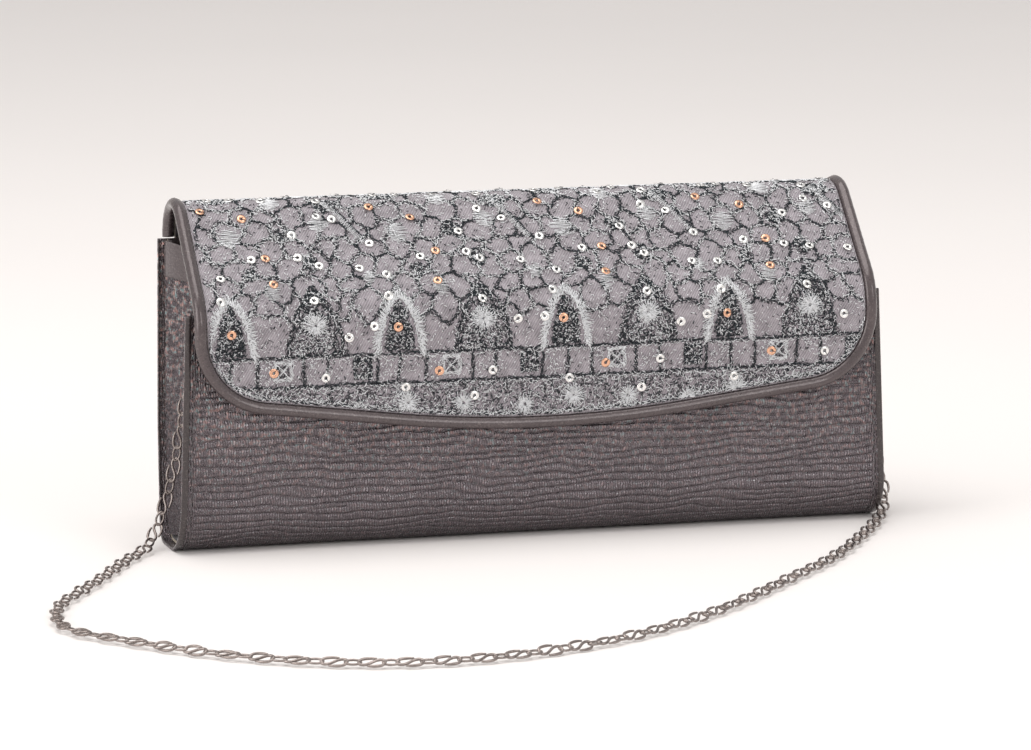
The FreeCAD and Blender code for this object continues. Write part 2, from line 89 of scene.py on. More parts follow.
class ClutchBodySizes(bpy.types.PropertyGroup):
    groove_pitch: length("Groove pitch", "Distance between the wavy grooves of the emboss", 2.9)
    groove_depth: length("Groove depth", "How deep the grooves are pressed", 0.2)
    rib_pitch: length("Rib pitch", "Distance between the fine ribs across each band", 0.95)
    stitch_pitch: length("Stitch pitch", "Length of a stitch and the gap after it", 3.0)
    stitch_margin: length("Stitch margin", "Distance of the stitches from the side edge", 3.7)


class ClutchFlapSizes(bpy.types.PropertyGroup):
    repeat: length("Lace repeat", "Width of one repeat of the lace", 63.4)
    cell: length("Net cell", "Size of a cell of the lace's net", 9.5)
    sequin: length("Sequin", "Outer diameter of a ring sequin", 3.5)
    sequin_hole: length("Sequin hole", "Diameter of the hole in a sequin", 1.05)


class ClutchChainSizes(bpy.types.PropertyGroup):
    pitch: length("Link pitch", "Distance from one scroll link to the next", 12.4)
    wire: length("Wire", "Radius of the scroll links' wire", 0.5)
    loop_wire: length("Loop wire", "Radius of the joining loops' wire", 0.42)


class ClutchColours(bpy.types.PropertyGroup):
    foil: colour("Foil", "Embossed leatherette", 0.225, 0.190, 0.205)
    piping: colour("Piping", "Smooth leatherette", 0.070, 0.053, 0.055)
    twill: colour("Twill", "Cloth under the lace", 0.40, 0.365, 0.395)
    dark_thread: colour("Dark thread", "The lace's net", 0.022, 0.026, 0.032)
    pale_thread: colour("Pale thread", "The lace's embroidery", 0.84, 0.85, 0.87)
    copper: colour("Copper sequin", "The warm sequins", 0.86, 0.50, 0.34)
    lining: colour("Lining", "Cloth inside the bag", 0.055, 0.048, 0.055)
    chain: colour("Chain", "Gunmetal plating", 0.36, 0.31, 0.29)


class ClutchStageSizes(bpy.types.PropertyGroup):
    floor: colour("Floor", "Cloth that the bag stands on", 0.895, 0.862, 0.845)
    key_power: bpy.props.FloatProperty(name="Key light", description="Power of the overhead softbox",
                                       default=20.0, min=0.0, unit="POWER")
    side_power: bpy.props.FloatProperty(name="Side light", description="Power of the softbox on the left",
                                        default=12.0, min=0.0, unit="POWER")
    world: bpy.props.FloatProperty(name="Room light", description="Strength of the light from all round",
                                   default=0.71, min=0.0)


# ------------------------------------------------------------------ paths
def unit(v):
    """A vector of length one, or an array of them."""
    v = np.asarray(v, float)
    size = np.linalg.norm(v, axis=-1, keepdims=True)
    return v / np.maximum(size, 1e-12)


def smooth_step(value, low, high):
    """Rises from 0 at low to 1 at high, with soft ends."""
    share = np.clip((np.asarray(value, float) - low) / (high - low), 0.0, 1.0)
    return share * share * (3 - 2 * share)


def rounded(corners, step=0.4):
    """Points along an open path of corners (u, v, radius), its corners rounded."""
    found = [np.array(corners[0][:2], float)]
    for before, here, after in zip(corners, corners[1:], corners[2:]):
        corner = np.array(here[:2], float)
        back = unit(np.array(before[:2]) - corner)
        ahead = unit(np.array(after[:2]) - corner)
        half = math.acos(np.clip(back @ ahead, -1, 1)) / 2
        radius = here[2]
        if radius <= 0:
            found.append(corner)
            continue
        centre = corner + unit(back + ahead) * radius / math.sin(half)
        start = corner + back * radius / math.tan(half)
        arm = start - centre
        turn = math.pi - 2 * half
        if back[0] * ahead[1] - back[1] * ahead[0] > 0:
            turn = -turn
        count = max(4, int(radius * abs(turn) / step))
        for k in range(count + 1):
            angle = turn * k / count
            c, s = math.cos(angle), math.sin(angle)
            found.append(centre + np.array([c * arm[0] - s * arm[1], s * arm[0] + c * arm[1]]))
    found.append(np.array(corners[-1][:2], float))
    return np.array(found)


def evenly(points, spacing):
    """The points of a line, read again at an even spacing."""
    points = np.asarray(points, float)
    steps = np.linalg.norm(np.diff(points, axis=0), axis=1)
    along = np.concatenate([[0.0], np.cumsum(steps)])
    count = max(2, int(round(along[-1] / spacing)) + 1)
    places = np.linspace(0, along[-1], count)
    return np.stack([np.interp(places, along, points[:, k]) for k in range(points.shape[1])], 1)


class Path:
    """A rounded path across the bag's depth and height, its inward side on the left of its travel."""

    def __init__(self, corners):
        self.points = evenly(rounded(corners), 0.25)
        steps = np.linalg.norm(np.diff(self.points, axis=0), axis=1)
        self.along = np.concatenate([[0.0], np.cumsum(steps)])
        self.length = self.along[-1]
        heading = unit(np.gradient(self.points, self.along, axis=0))
        self.inward = np.stack([-heading[:, 1], heading[:, 0]], 1)

    def at(self, along, inset=0.0):
        """Depths and heights at lengths along the path, moved inward."""
        found = []
        for k in (0, 1):
            side = np.interp(along, self.along, self.inward[:, k])
            found.append(np.interp(along, self.along, self.points[:, k]) + inset * side)
        return found[0], found[1]


BODY = Path([(1.3, FRONT_TOP, 0), (0, 0, 17), (35, 0, 9), (44, 43, 120), (52, BACK_TOP, 0)])
FLAP = Path([(52, 111.2, 0), (52, 146.9, 14.5), (-4.3, 90.6, 22), (-4.3, 20, 0)])
FLAP_SIDE = 131.0
CORNER_HEAD = 80.6
FLAP_EDGE = [(-FLAP_SIDE, 200, 0), (-FLAP_SIDE, 55, 29), (0, 38.7, 450), (FLAP_SIDE, 55, 29),
             (FLAP_SIDE, 200, 0)]
LACE_FOOT = 40.0
LACE_ZERO = float(np.interp(-LACE_FOOT, -FLAP.points[-600:, 1], FLAP.along[-600:]))


def half_width(rise):
    """Half the body's width at a height."""
    return HALF_FOOT + (HALF_TOP - HALF_FOOT) * np.asarray(rise) / 110.5


def edge_points(inset):
    """The flap's front outline moved inward, as places across and heights."""
    points = evenly(rounded(FLAP_EDGE), 0.5)
    heading = unit(np.gradient(points, axis=0))
    return points + inset * np.stack([-heading[:, 1], heading[:, 0]], 1)


COVER_EDGE = edge_points(COVER_INSET)
COVER_EDGE = COVER_EDGE[COVER_EDGE[:, 1] < CORNER_HEAD]
COVER_HALF = FLAP_SIDE - COVER_INSET


def cover_foot(across):
    """The height of the flap cover's lower edge at places across the flap."""
    return np.interp(across, COVER_EDGE[:, 0], COVER_EDGE[:, 1])


def on_flap(across, up, inset=0.0):
    """Places on the flap: up is measured over its surface from the height LACE_FOOT on its front."""
    depth, rise = FLAP.at(LACE_ZERO - np.asarray(up, float), inset)
    return np.stack([np.asarray(across, float) + 0 * depth, depth - CENTRE, rise], -1)


def ripple(x, y, size, seed):
    """Soft unevenness from -1 to 1 that repeats the same way for a seed."""
    rng = np.random.default_rng(seed)
    total = 0.0
    for _ in range(5):
        angle = rng.uniform(0, math.tau)
        wave = size * rng.uniform(0.6, 1.7)
        total = total + np.sin(math.tau * (x * math.cos(angle) + y * math.sin(angle)) / wave
                               + rng.uniform(0, math.tau))
    return total / 5


# ------------------------------------------------------------------ meshes
def show(mesh, name, material, body=None):
    """Links a mesh as a named piece with its material, riding on a body."""
    piece = bpy.data.objects.new(name, mesh)
    bpy.context.scene.collection.objects.link(piece)
    mesh.materials.append(material)
    mesh.polygons.foreach_set("use_smooth", [True] * len(mesh.polygons))
    if body:
        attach(piece, body)
    return piece


def mesh_of(name, verts, faces):
    """A mesh from places in millimetres."""
    mesh = bpy.data.meshes.new(name)
    mesh.from_pydata((np.asarray(verts, float) * MM).tolist(), [], [tuple(f) for f in faces])
    mesh.validate()
    return mesh


def grid_faces(rows, cols, wrap=False):
    """The quads of a grid of vertices, joined round its columns when it wraps."""
    r, c = np.meshgrid(np.arange(rows - 1), np.arange(cols if wrap else cols - 1), indexing="ij")
    after = (c + 1) % cols
    quads = np.stack([r * cols + c, r * cols + after, (r + 1) * cols + after, (r + 1) * cols + c], -1)
    return quads.reshape(-1, 4)


def sheet_mesh(name, grid, flat, thickness, values=None):
    """A sheet through a grid of places: its flat coordinates are kept, and it is given a thickness inward."""
    rows, cols = grid.shape[:2]
    mesh = mesh_of(name, grid.reshape(-1, 3), grid_faces(rows, cols)[:, ::-1])
    layer = mesh.uv_layers.new(name="flat")
    corner = np.zeros(len(mesh.loops), int)
    mesh.loops.foreach_get("vertex_index", corner)
    layer.data.foreach_set("uv", (flat.reshape(-1, 2)[corner] * MM).ravel())
    for word, numbers in (values or {}).items():
        kept = mesh.attributes.new(word, "FLOAT", "POINT")
        kept.data.foreach_set("value", np.asarray(numbers, np.float32).ravel())
    piece = bpy.data.objects.new(name, mesh)
    bpy.context.scene.collection.objects.link(piece)
    thicken = piece.modifiers.new("thickness", "SOLIDIFY")
    thicken.thickness = thickness * MM
    thicken.offset = -1.0
    made = bpy.data.meshes.new_from_object(piece.evaluated_get(bpy.context.evaluated_depsgraph_get()))
    made.name = name
    bpy.data.objects.remove(piece)
    return made


class Lot:
    """Parts gathered for one mesh, in millimetres."""

    def __init__(self):
        self.verts = []
        self.faces = []
        self.count = 0

    def add(self, verts, faces):
        """Adds vertices and the faces between them."""
        self.verts.append(np.asarray(verts, float))
        self.faces += [tuple(int(k) + self.count for k in face) for face in faces]
        self.count += len(verts)

    def tube(self, points, radius, sides=8, closed=False):
        """Adds a round bar along points, with closed ends unless it is a ring."""
        points = np.asarray(points, float)
        count = len(points)
        radius = np.broadcast_to(radius, (count,))
        if closed:
            heading = unit(np.roll(points, -1, 0) - np.roll(points, 1, 0))
        else:
            heading = unit(np.gradient(points, axis=0))
        side = unit(np.cross(heading[0], [0.31, 0.17, 0.93]))
        rings = []
        for place, ahead, reach in zip(points, heading, radius):
            side = unit(side - ahead * (side @ ahead))
            other = np.cross(ahead, side)
            angles = np.arange(sides) * math.tau / sides
            rings.append(place + reach * (np.outer(np.cos(angles), side) + np.outer(np.sin(angles), other)))
        faces = grid_faces(count, sides, wrap=True).tolist()
        if closed:
            last = (count - 1) * sides
            shift = int(np.argmin(np.linalg.norm(rings[-1][0] - rings[0], axis=1)))
            faces += [(last + k, last + (k + 1) % sides, (k + 1 + shift) % sides, (k + shift) % sides)
                      for k in range(sides)]
        else:
            faces.append(tuple(range(sides))[::-1])
            faces.append(tuple((count - 1) * sides + k for k in range(sides)))
        self.add(np.concatenate(rings), faces)

    def mesh(self, name):
        """The gathered parts as a mesh."""
        return mesh_of(name, np.concatenate(self.verts), self.faces)


def stitch_mesh(name, starts, ends, width, height, inset):
    """Many stitches on the flap, each a small ridge from a start to an end given across and up."""
    starts, ends = np.asarray(starts, float), np.asarray(ends, float)
    width = np.broadcast_to(width, (len(starts),))[:, None]
    inset = np.broadcast_to(inset, (len(starts),))
    heading = unit(ends - starts)
    across = np.stack([-heading[:, 1], heading[:, 0]], 1) * width
    tip = heading * width
    low = [starts + across, starts - across, ends - across, ends + across]
    high = [starts + tip, ends - tip]
    verts = [on_flap(p[:, 0], p[:, 1], inset) for p in low]
    verts += [on_flap(p[:, 0], p[:, 1], inset - height) for p in high]
    verts = np.stack(verts, 1).reshape(-1, 3)
    base = np.arange(len(starts)) * 6
    faces = []
    for quad in ((0, 1, 2, 3), (1, 4, 5, 2), (0, 3, 5, 4)):
        faces += np.stack([base + k for k in quad], 1).tolist()
    for three in ((0, 4, 1), (2, 5, 3)):
        faces += np.stack([base + k for k in three], 1).tolist()
    return mesh_of(name, verts, faces)


# ------------------------------------------------------------------ materials
def put(tree, kind, inputs=None, **settings):
    """Adds a node; each input is a socket to join or a value to set."""
    node = tree.nodes.new(kind)
    for word, value in settings.items():
        setattr(node, word, value)
    for key, value in (inputs or {}).items():
        if isinstance(value, bpy.types.NodeSocket):
            tree.links.new(value, node.inputs[key])
        else:
            node.inputs[key].default_value = value
    return node


def maths(tree, operation, first, second=0.0, third=0.0):
    """A sum of numbers or sockets."""
    return put(tree, "ShaderNodeMath", {0: first, 1: second, 2: third}, operation=operation).outputs[0]


def mixed(tree, share, first, second):
    """Two colours mixed."""
    return put(tree, "ShaderNodeMix", {0: share, 6: first, 7: second}, data_type="RGBA").outputs[2]


def ranged(tree, value, low, high, to_low=0.0, to_high=1.0):
    """A value spread from one range to another."""
    inputs = {"Value": value, 1: low, 2: high, 3: to_low, 4: to_high}
    return put(tree, "ShaderNodeMapRange", inputs).outputs[0]


def group(name, inputs, outputs):
    """A new shader node group with named sockets, with its input and output nodes."""
    tree = bpy.data.node_groups.new(name, "ShaderNodeTree")
    kinds = {"v": "NodeSocketVector", "f": "NodeSocketFloat", "c": "NodeSocketColor"}
    for word, kind in inputs:
        tree.interface.new_socket(word, in_out="INPUT", socket_type=kinds[kind])
    for word, kind in outputs:
        tree.interface.new_socket(word, in_out="OUTPUT", socket_type=kinds[kind])
    return tree, tree.nodes.new("NodeGroupInput").outputs, tree.nodes.new("NodeGroupOutput").inputs


def make_grain_group():
    """Fine leather grain: a height and a mask of bright flecks."""
    tree, given, out = group("Fine grain", [("Place", "v"), ("Scale", "f")],
                             [("Height", "f"), ("Flecks", "f")])
    cells = put(tree, "ShaderNodeTexVoronoi", {"Vector": given["Place"], "Scale": given["Scale"]},
                feature="SMOOTH_F1").outputs["Distance"]
    fine = put(tree, "ShaderNodeTexNoise", {"Vector": given["Place"], "Scale": given["Scale"], "Detail": 3.0})
    tree.links.new(maths(tree, "MULTIPLY_ADD", fine.outputs["Fac"], 0.6, cells), out["Height"])
    tree.links.new(ranged(tree, fine.outputs["Fac"], 0.56, 0.70), out["Flecks"])


def make_tone_group():
    """Slow and fast unevenness of tone, for colour and roughness."""
    tree, given, out = group("Uneven tone", [("Place", "v"), ("Scale", "f")],
                             [("Tone", "f"), ("Fine tone", "f")])
    slow = put(tree, "ShaderNodeTexNoise", {"Vector": given["Place"], "Scale": given["Scale"], "Detail": 4.0})
    quick_scale = maths(tree, "MULTIPLY", given["Scale"], 14.0)
    quick = put(tree, "ShaderNodeTexNoise", {"Vector": given["Place"], "Scale": quick_scale, "Detail": 2.0})
    tree.links.new(ranged(tree, slow.outputs["Fac"], 0.3, 0.7), out["Tone"])
    tree.links.new(ranged(tree, quick.outputs["Fac"], 0.35, 0.65), out["Fine tone"])


def make_weave_group():
    """Threads of a twill: slanted ribs crossed by fine threads."""
    tree, given, out = group("Twill weave", [("Place", "v"), ("Pitch", "f"), ("Slant", "f")],
                             [("Height", "f"), ("Thread", "f")])
    parts = put(tree, "ShaderNodeSeparateXYZ", {0: given["Place"]}).outputs
    noise = put(tree, "ShaderNodeTexNoise", {"Vector": given["Place"], "Scale": 260.0, "Detail": 2.0})
    drift = maths(tree, "MULTIPLY", noise.outputs["Fac"], 0.00035)
    lean = maths(tree, "MULTIPLY_ADD", parts[1], given["Slant"], parts[0])
    run = maths(tree, "DIVIDE", maths(tree, "ADD", lean, drift), given["Pitch"])
    ribs = maths(tree, "SINE", maths(tree, "MULTIPLY", run, math.tau))
    cross = maths(tree, "DIVIDE", maths(tree, "ADD", parts[1], drift), given["Pitch"])
    threads = maths(tree, "SINE", maths(tree, "MULTIPLY", cross, math.tau * 2.3))
    both = maths(tree, "MULTIPLY_ADD", threads, 0.35, ribs)
    tree.links.new(ranged(tree, both, -1.3, 1.3), out["Height"])
    tree.links.new(ranged(tree, noise.outputs["Fac"], 0.35, 0.7), out["Thread"])


def use(tree, name, inputs):
    """Places a node group in a material."""
    return put(tree, "ShaderNodeGroup", inputs, node_tree=bpy.data.node_groups[name]).outputs


FINISHES = {}


def new_material(name):
    """A material's node tree and its shader, kept among the finishes."""
    material = bpy.data.materials.new(f"{name}_finish")
    FINISHES[name] = material
    material.use_nodes = True
    tree = material.node_tree
    tree.nodes.clear()
    shader = tree.nodes.new("ShaderNodeBsdfPrincipled")
    output = tree.nodes.new("ShaderNodeOutputMaterial")
    tree.links.new(shader.outputs[0], output.inputs[0])
    return tree, shader


def finish(tree, shader, tint=None, roughness=None, height=None, depth=0.0001, **constants):
    """Joins a material's colour, roughness and height to its shader, and sets its constants."""
    if tint is not None:
        tree.links.new(tint, shader.inputs["Base Color"])
    if roughness is not None:
        tree.links.new(roughness, shader.inputs["Roughness"])
    if height is not None:
        bump = put(tree, "ShaderNodeBump", {"Height": height, "Distance": depth, "Strength": 1.0})
        tree.links.new(bump.outputs[0], shader.inputs["Normal"])
    for word, value in constants.items():
        shader.inputs[word.replace("_", " ")].default_value = value


def flat_place(tree):
    """The flat coordinates of a sheet, in metres."""
    return put(tree, "ShaderNodeUVMap", uv_map="flat").outputs[0]


def solid_place(tree):
    """Places in the piece's own space, in metres."""
    return tree.nodes.new("ShaderNodeTexCoord").outputs["Object"]


def rgb(value):
    """A colour with its alpha."""
    return (*value, 1.0)


def make_foil(name, tint, rib_pitch):
    """Embossed leatherette: dark foil over ribs, with teal and rose flecks, painted highlights that grow
    brighter towards the top, and painted shade in the grooves and rib valleys.
    """
    tree, shader = new_material(name)
    place = flat_place(tree)
    parts = put(tree, "ShaderNodeSeparateXYZ", {0: place}).outputs
    band = put(tree, "ShaderNodeAttribute", attribute_name="band").outputs["Fac"]
    groove = put(tree, "ShaderNodeAttribute", attribute_name="groove").outputs["Fac"]
    own = put(tree, "ShaderNodeTexWhiteNoise", {"W": maths(tree, "FLOOR", band)}, noise_dimensions="1D")
    wander = put(tree, "ShaderNodeTexNoise", {"Vector": place, "Scale": 420.0, "Detail": 1.0})
    run = maths(tree, "DIVIDE", parts[0], rib_pitch)
    run = maths(tree, "ADD", run, maths(tree, "MULTIPLY", own.outputs["Value"], 3.0))
    run = maths(tree, "MULTIPLY_ADD", wander.outputs["Fac"], 1.1, run)
    ribs = maths(tree, "SINE", maths(tree, "MULTIPLY", run, math.tau))
    ribs = ranged(tree, ribs, -0.9, 0.9)
    grain = use(tree, "Fine grain", {"Place": place, "Scale": 2600.0})
    tone = use(tree, "Uneven tone", {"Place": place, "Scale": 34.0})
    height = maths(tree, "MULTIPLY_ADD", grain["Height"], 0.22, ribs)
    height = maths(tree, "MULTIPLY", height, maths(tree, "SUBTRACT", 1.0, groove))
    # Painted highlights: teal and rose sparkle, partly the foil's own iridescent colour, mixed into the base
    # colour below.
    hue = put(tree, "ShaderNodeTexNoise", {"Vector": place, "Scale": 700.0, "Detail": 2.0}).outputs["Fac"]
    fleck = mixed(tree, ranged(tree, hue, 0.36, 0.56), (0.42, 0.62, 0.64, 1), (0.66, 0.40, 0.37, 1))
    # Painted light by height: the sparkle share runs from 0.12 at 20 mm to full at 80 mm and above, standing
    # in for the lit upper body and a shaded, darker bottom.
    rise = put(tree, "ShaderNodeSeparateXYZ", {0: solid_place(tree)}).outputs[2]
    bright = ranged(tree, rise, 0.02, 0.08, 0.12, 1.0)
    base = mixed(tree, ranged(tree, tone["Tone"], 0.0, 1.0, 0.0, 0.35), rgb(tint), (0.10, 0.085, 0.095, 1))
    glints = maths(tree, "MULTIPLY", ranged(tree, tone["Fine tone"], 0.42, 0.85, 0.0, 0.9), bright)
    base = mixed(tree, glints, base, fleck)
    # Painted highlights: near-white speckles from the grain's flecks.
    base = mixed(tree, ranged(tree, grain["Flecks"], 0.3, 1.0, 0.0, 0.7), base, (0.80, 0.90, 0.90, 1))
    # Painted shade: the valleys between the ribs are darkened.
    base = mixed(tree, ranged(tree, ribs, 0.0, 1.0, 0.45, 0.0), base, (0.035, 0.03, 0.035, 1))
    # Painted shade: the grooves are darkened towards near black.
    base = mixed(tree, ranged(tree, groove, 0.0, 1.0, 0.0, 0.45), base, (0.02, 0.018, 0.02, 1))
    roughness = ranged(tree, tone["Fine tone"], 0.0, 1.0, 0.20, 0.36)
    finish(tree, shader, base, roughness, height, 0.0004, Metallic=0.88, Specular_IOR_Level=0.6)


def make_smooth_leatherette(name, tint, place_of, flecks=0.15):
    """Smooth coated leatherette with a fine grain and bright flecks."""
    tree, shader = new_material(name)
    place = place_of(tree)
    grain = use(tree, "Fine grain", {"Place": place, "Scale": 1500.0})
    tone = use(tree, "Uneven tone", {"Place": place, "Scale": 60.0})
    base = mixed(tree, ranged(tree, tone["Tone"], 0.0, 1.0, 0.0, 0.5), rgb(tint),
                 rgb([v * 1.4 for v in tint]))
    base = mixed(tree, ranged(tree, grain["Flecks"], 0.0, 1.0, 0.0, flecks), base, (0.50, 0.44, 0.40, 1))
    roughness = ranged(tree, tone["Fine tone"], 0.0, 1.0, 0.24, 0.40)
    finish(tree, shader, base, roughness, grain["Height"], 0.00007, Metallic=0.45,
           Coat_Weight=0.6, Coat_Roughness=0.12)


def make_cloth(name, tint, second, pitch, slant, depth, place_of, sheen=0.3, metallic=0.0):
    """Woven cloth of two tones."""
    tree, shader = new_material(name)
    place = place_of(tree)
    weave = use(tree, "Twill weave", {"Place": place, "Pitch": pitch, "Slant": slant})
    tone = use(tree, "Uneven tone", {"Place": place, "Scale": 45.0})
    base = mixed(tree, weave["Height"], rgb(second), rgb(tint))
    base = mixed(tree, ranged(tree, weave["Thread"], 0.0, 1.0, 0.0, 0.5), base, rgb([v * 1.5 for v in tint]))
    base = mixed(tree, ranged(tree, tone["Tone"], 0.0, 1.0, 0.0, 0.25), base, rgb(second))
    roughness = ranged(tree, tone["Fine tone"], 0.0, 1.0, 0.45, 0.7)
    finish(tree, shader, base, roughness, weave["Height"], depth, Metallic=metallic, Sheen_Weight=sheen,
           Sheen_Roughness=0.4)


def make_thread(name, tint, painted_glint, metallic, roughness):
    """Lustrous thread with painted highlights: a lighter colour mixed in at random along it."""
    tree, shader = new_material(name)
    place = solid_place(tree)
    tone = use(tree, "Uneven tone", {"Place": place, "Scale": 120.0})
    # Painted highlights: the lighter colour is mixed in where the fine noise is high.
    base = mixed(tree, ranged(tree, tone["Fine tone"], 0.45, 1.0, 0.0, 0.8), rgb(tint), rgb(painted_glint))
    rough = ranged(tree, tone["Tone"], 0.0, 1.0, roughness, roughness + 0.2)
    finish(tree, shader, base, rough, tone["Fine tone"], 0.00004, Metallic=metallic)


def make_metal(name, tint, shade, roughness, depth=0.00001):
    """Plated metal, a little uneven, darker where it is worn."""
    tree, shader = new_material(name)
    place = solid_place(tree)
    tone = use(tree, "Uneven tone", {"Place": place, "Scale": 150.0})
    base = mixed(tree, ranged(tree, tone["Tone"], 0.0, 1.0, 0.0, 0.6), rgb(tint), rgb(shade))
    rough = ranged(tree, tone["Fine tone"], 0.0, 1.0, roughness, roughness + 0.14)
    finish(tree, shader, base, rough, tone["Fine tone"], depth, Metallic=1.0)


def make_board_material():
    """Grey pressed board with visible fibres."""
    tree, shader = new_material("board")
    place = solid_place(tree)
    tone = use(tree, "Uneven tone", {"Place": place, "Scale": 90.0})
    base = mixed(tree, tone["Fine tone"], (0.30, 0.26, 0.21, 1), (0.46, 0.41, 0.34, 1))
    finish(tree, shader, base, ranged(tree, tone["Tone"], 0.0, 1.0, 0.8, 0.95), tone["Fine tone"], 0.00008)


def make_stage_cloth(name, tint):
    """Pale cloth of the floor, with faint soft folds."""
    tree, shader = new_material(name)
    place = solid_place(tree)
    folds = put(tree, "ShaderNodeTexNoise", {"Vector": place, "Scale": 2.2, "Detail": 2.0}).outputs["Fac"]
    fine = put(tree, "ShaderNodeTexNoise", {"Vector": place, "Scale": 900.0, "Detail": 2.0}).outputs["Fac"]
    base = mixed(tree, ranged(tree, folds, 0.35, 0.65, 0.0, 0.35), rgb(tint), rgb([v * 0.97 for v in tint]))
    height = maths(tree, "MULTIPLY_ADD", fine, 0.03, folds)
    finish(tree, shader, base, ranged(tree, fine, 0.3, 0.7, 0.85, 1.0), height, 0.002)


def make_materials():
    """Every finish of the bag, by name."""
    make_grain_group()
    make_tone_group()
    make_weave_group()
    scene = bpy.context.scene
    tints = scene.clutch_colours
    make_foil("foil", tints.foil, scene.clutch_body.rib_pitch)
    make_smooth_leatherette("piping_leatherette", tints.piping, solid_place)
    make_smooth_leatherette("edge_leatherette", [v * 0.55 for v in tints.piping], solid_place)
    make_smooth_leatherette("band_leatherette", [v * 0.9 for v in tints.piping], flat_place, 0.2)
    make_cloth("twill", tints.twill, [v * 0.45 for v in tints.twill], 0.00105, 0.62, 0.00022, flat_place,
               0.3, 0.25)
    make_cloth("lining_cloth", tints.lining, [v * 0.5 for v in tints.lining], 0.0006, 1.0, 0.0001, flat_place)
    # The second colour of each thread below is its painted highlight.
    make_thread("dark_thread", tints.dark_thread, (0.09, 0.115, 0.125), 0.6, 0.3)
    make_thread("pale_thread", tints.pale_thread, (0.97, 0.98, 1.0), 0.3, 0.3)
    make_thread("seam_thread", (0.09, 0.08, 0.085), (0.2, 0.18, 0.18), 0.1, 0.45)
    make_metal("sequin_silver", (0.92, 0.91, 0.89), (0.72, 0.72, 0.72), 0.16)
    make_metal("sequin_copper", tints.copper, [v * 0.8 for v in tints.copper], 0.18)
    make_metal("nickel", (0.62, 0.60, 0.57), (0.42, 0.40, 0.38), 0.2)
    make_metal("chain_metal", tints.chain, [v * 0.5 for v in tints.chain], 0.2)
    make_board_material()
    make_stage_cloth("stage_cloth", scene.clutch_stage.floor)


def material(name):
    """A finish, made with the others when it is first needed."""
    if not FINISHES:
        make_materials()
    return FINISHES[name]


# ------------------------------------------------------------------ chain
ON_FLOOR = 2.05
CHAIN_ROUTE = [
    (-RING_X, RING_Y, 83.2), (-124.6, 1.4, 68.5), (-129.0, 0.4, 53.0), (-131.2, 0.9, 38.0),
    (-134.4, 0.2, 23.5), (-139.0, -1.5, 10.5), (-145.5, -11.5, ON_FLOOR), (-158.0, -31.5, ON_FLOOR),
    (-170.5, -56.5, ON_FLOOR), (-183.0, -79.5, ON_FLOOR), (-196.5, -102.5, ON_FLOOR),
    (-202.5, -124.5, ON_FLOOR), (-203.0, -146.5, ON_FLOOR), (-188.0, -168.0, ON_FLOOR),
    (-165.5, -196.0, ON_FLOOR), (-136.0, -219.5, ON_FLOOR), (-101.0, -231.0, ON_FLOOR),
    (-64.0, -227.5, ON_FLOOR), (-28.5, -213.5, ON_FLOOR), (4.5, -190.5, ON_FLOOR),
    (34.5, -161.0, ON_FLOOR), (62.5, -128.5, ON_FLOOR), (90.0, -97.5, ON_FLOOR), (111.0, -65.0, ON_FLOOR),
    (128.5, -36.5, ON_FLOOR), (140.5, -13.0, 4.2), (143.0, 0.0, 16.5), (140.5, 2.5, 33.0),
    (135.5, 1.8, 51.0), (126.5, 1.2, 67.5), (RING_X, RING_Y, 83.2),
]


def nurbs_line(route, spacing):
    """Points read from the smooth spline that has the route as its control points."""
    curve = bpy.data.curves.new("chain_line", "CURVE")
    curve.dimensions = "3D"
    spline = curve.splines.new("NURBS")
    spline.points.add(len(route) - 1)
    for point, place in zip(spline.points, route):
        point.co = (*[v * MM for v in place], 1.0)
    spline.order_u = 3
    spline.use_endpoint_u = True
    spline.resolution_u = 24
    holder = bpy.data.objects.new("chain_line", curve)
    bpy.context.scene.collection.objects.link(holder)
    mesh = bpy.data.meshes.new_from_object(holder)
    points = np.array([v.co[:] for v in mesh.vertices]) / MM
    bpy.data.objects.remove(holder)
    bpy.data.curves.remove(curve)
    bpy.data.meshes.remove(mesh)
    return evenly(points, spacing)


def softened(points, times=3):
    """A line with its corners cut, a few times over."""
    points = np.asarray(points, float)
    for _ in range(times):
        near = points[:-1] * 0.75 + points[1:] * 0.25
        far = points[:-1] * 0.25 + points[1:] * 0.75
        between = np.stack([near, far], 1).reshape(-1, points.shape[1])
        points = np.concatenate([points[:1], between, points[-1:]])
    return points


def scroll():
    """The wire of an S-scroll link in its own plane: an S whose two hooks reach back to make an oval."""
    hook = [(0.0, 0.0), (1.3, 0.85), (2.9, 1.25), (4.3, 0.75), (4.45, -0.6), (3.6, -1.75), (1.9, -2.1),
            (0.2, -2.15), (-1.5, -1.85)]
    half = np.array(hook)
    return evenly(softened(np.concatenate([-half[::-1], half[1:]])), 0.55)


def rolled(vector, axis, angle):
    """A vector turned about an axis."""
    return vector * math.cos(angle) + np.cross(axis, vector) * math.sin(angle)


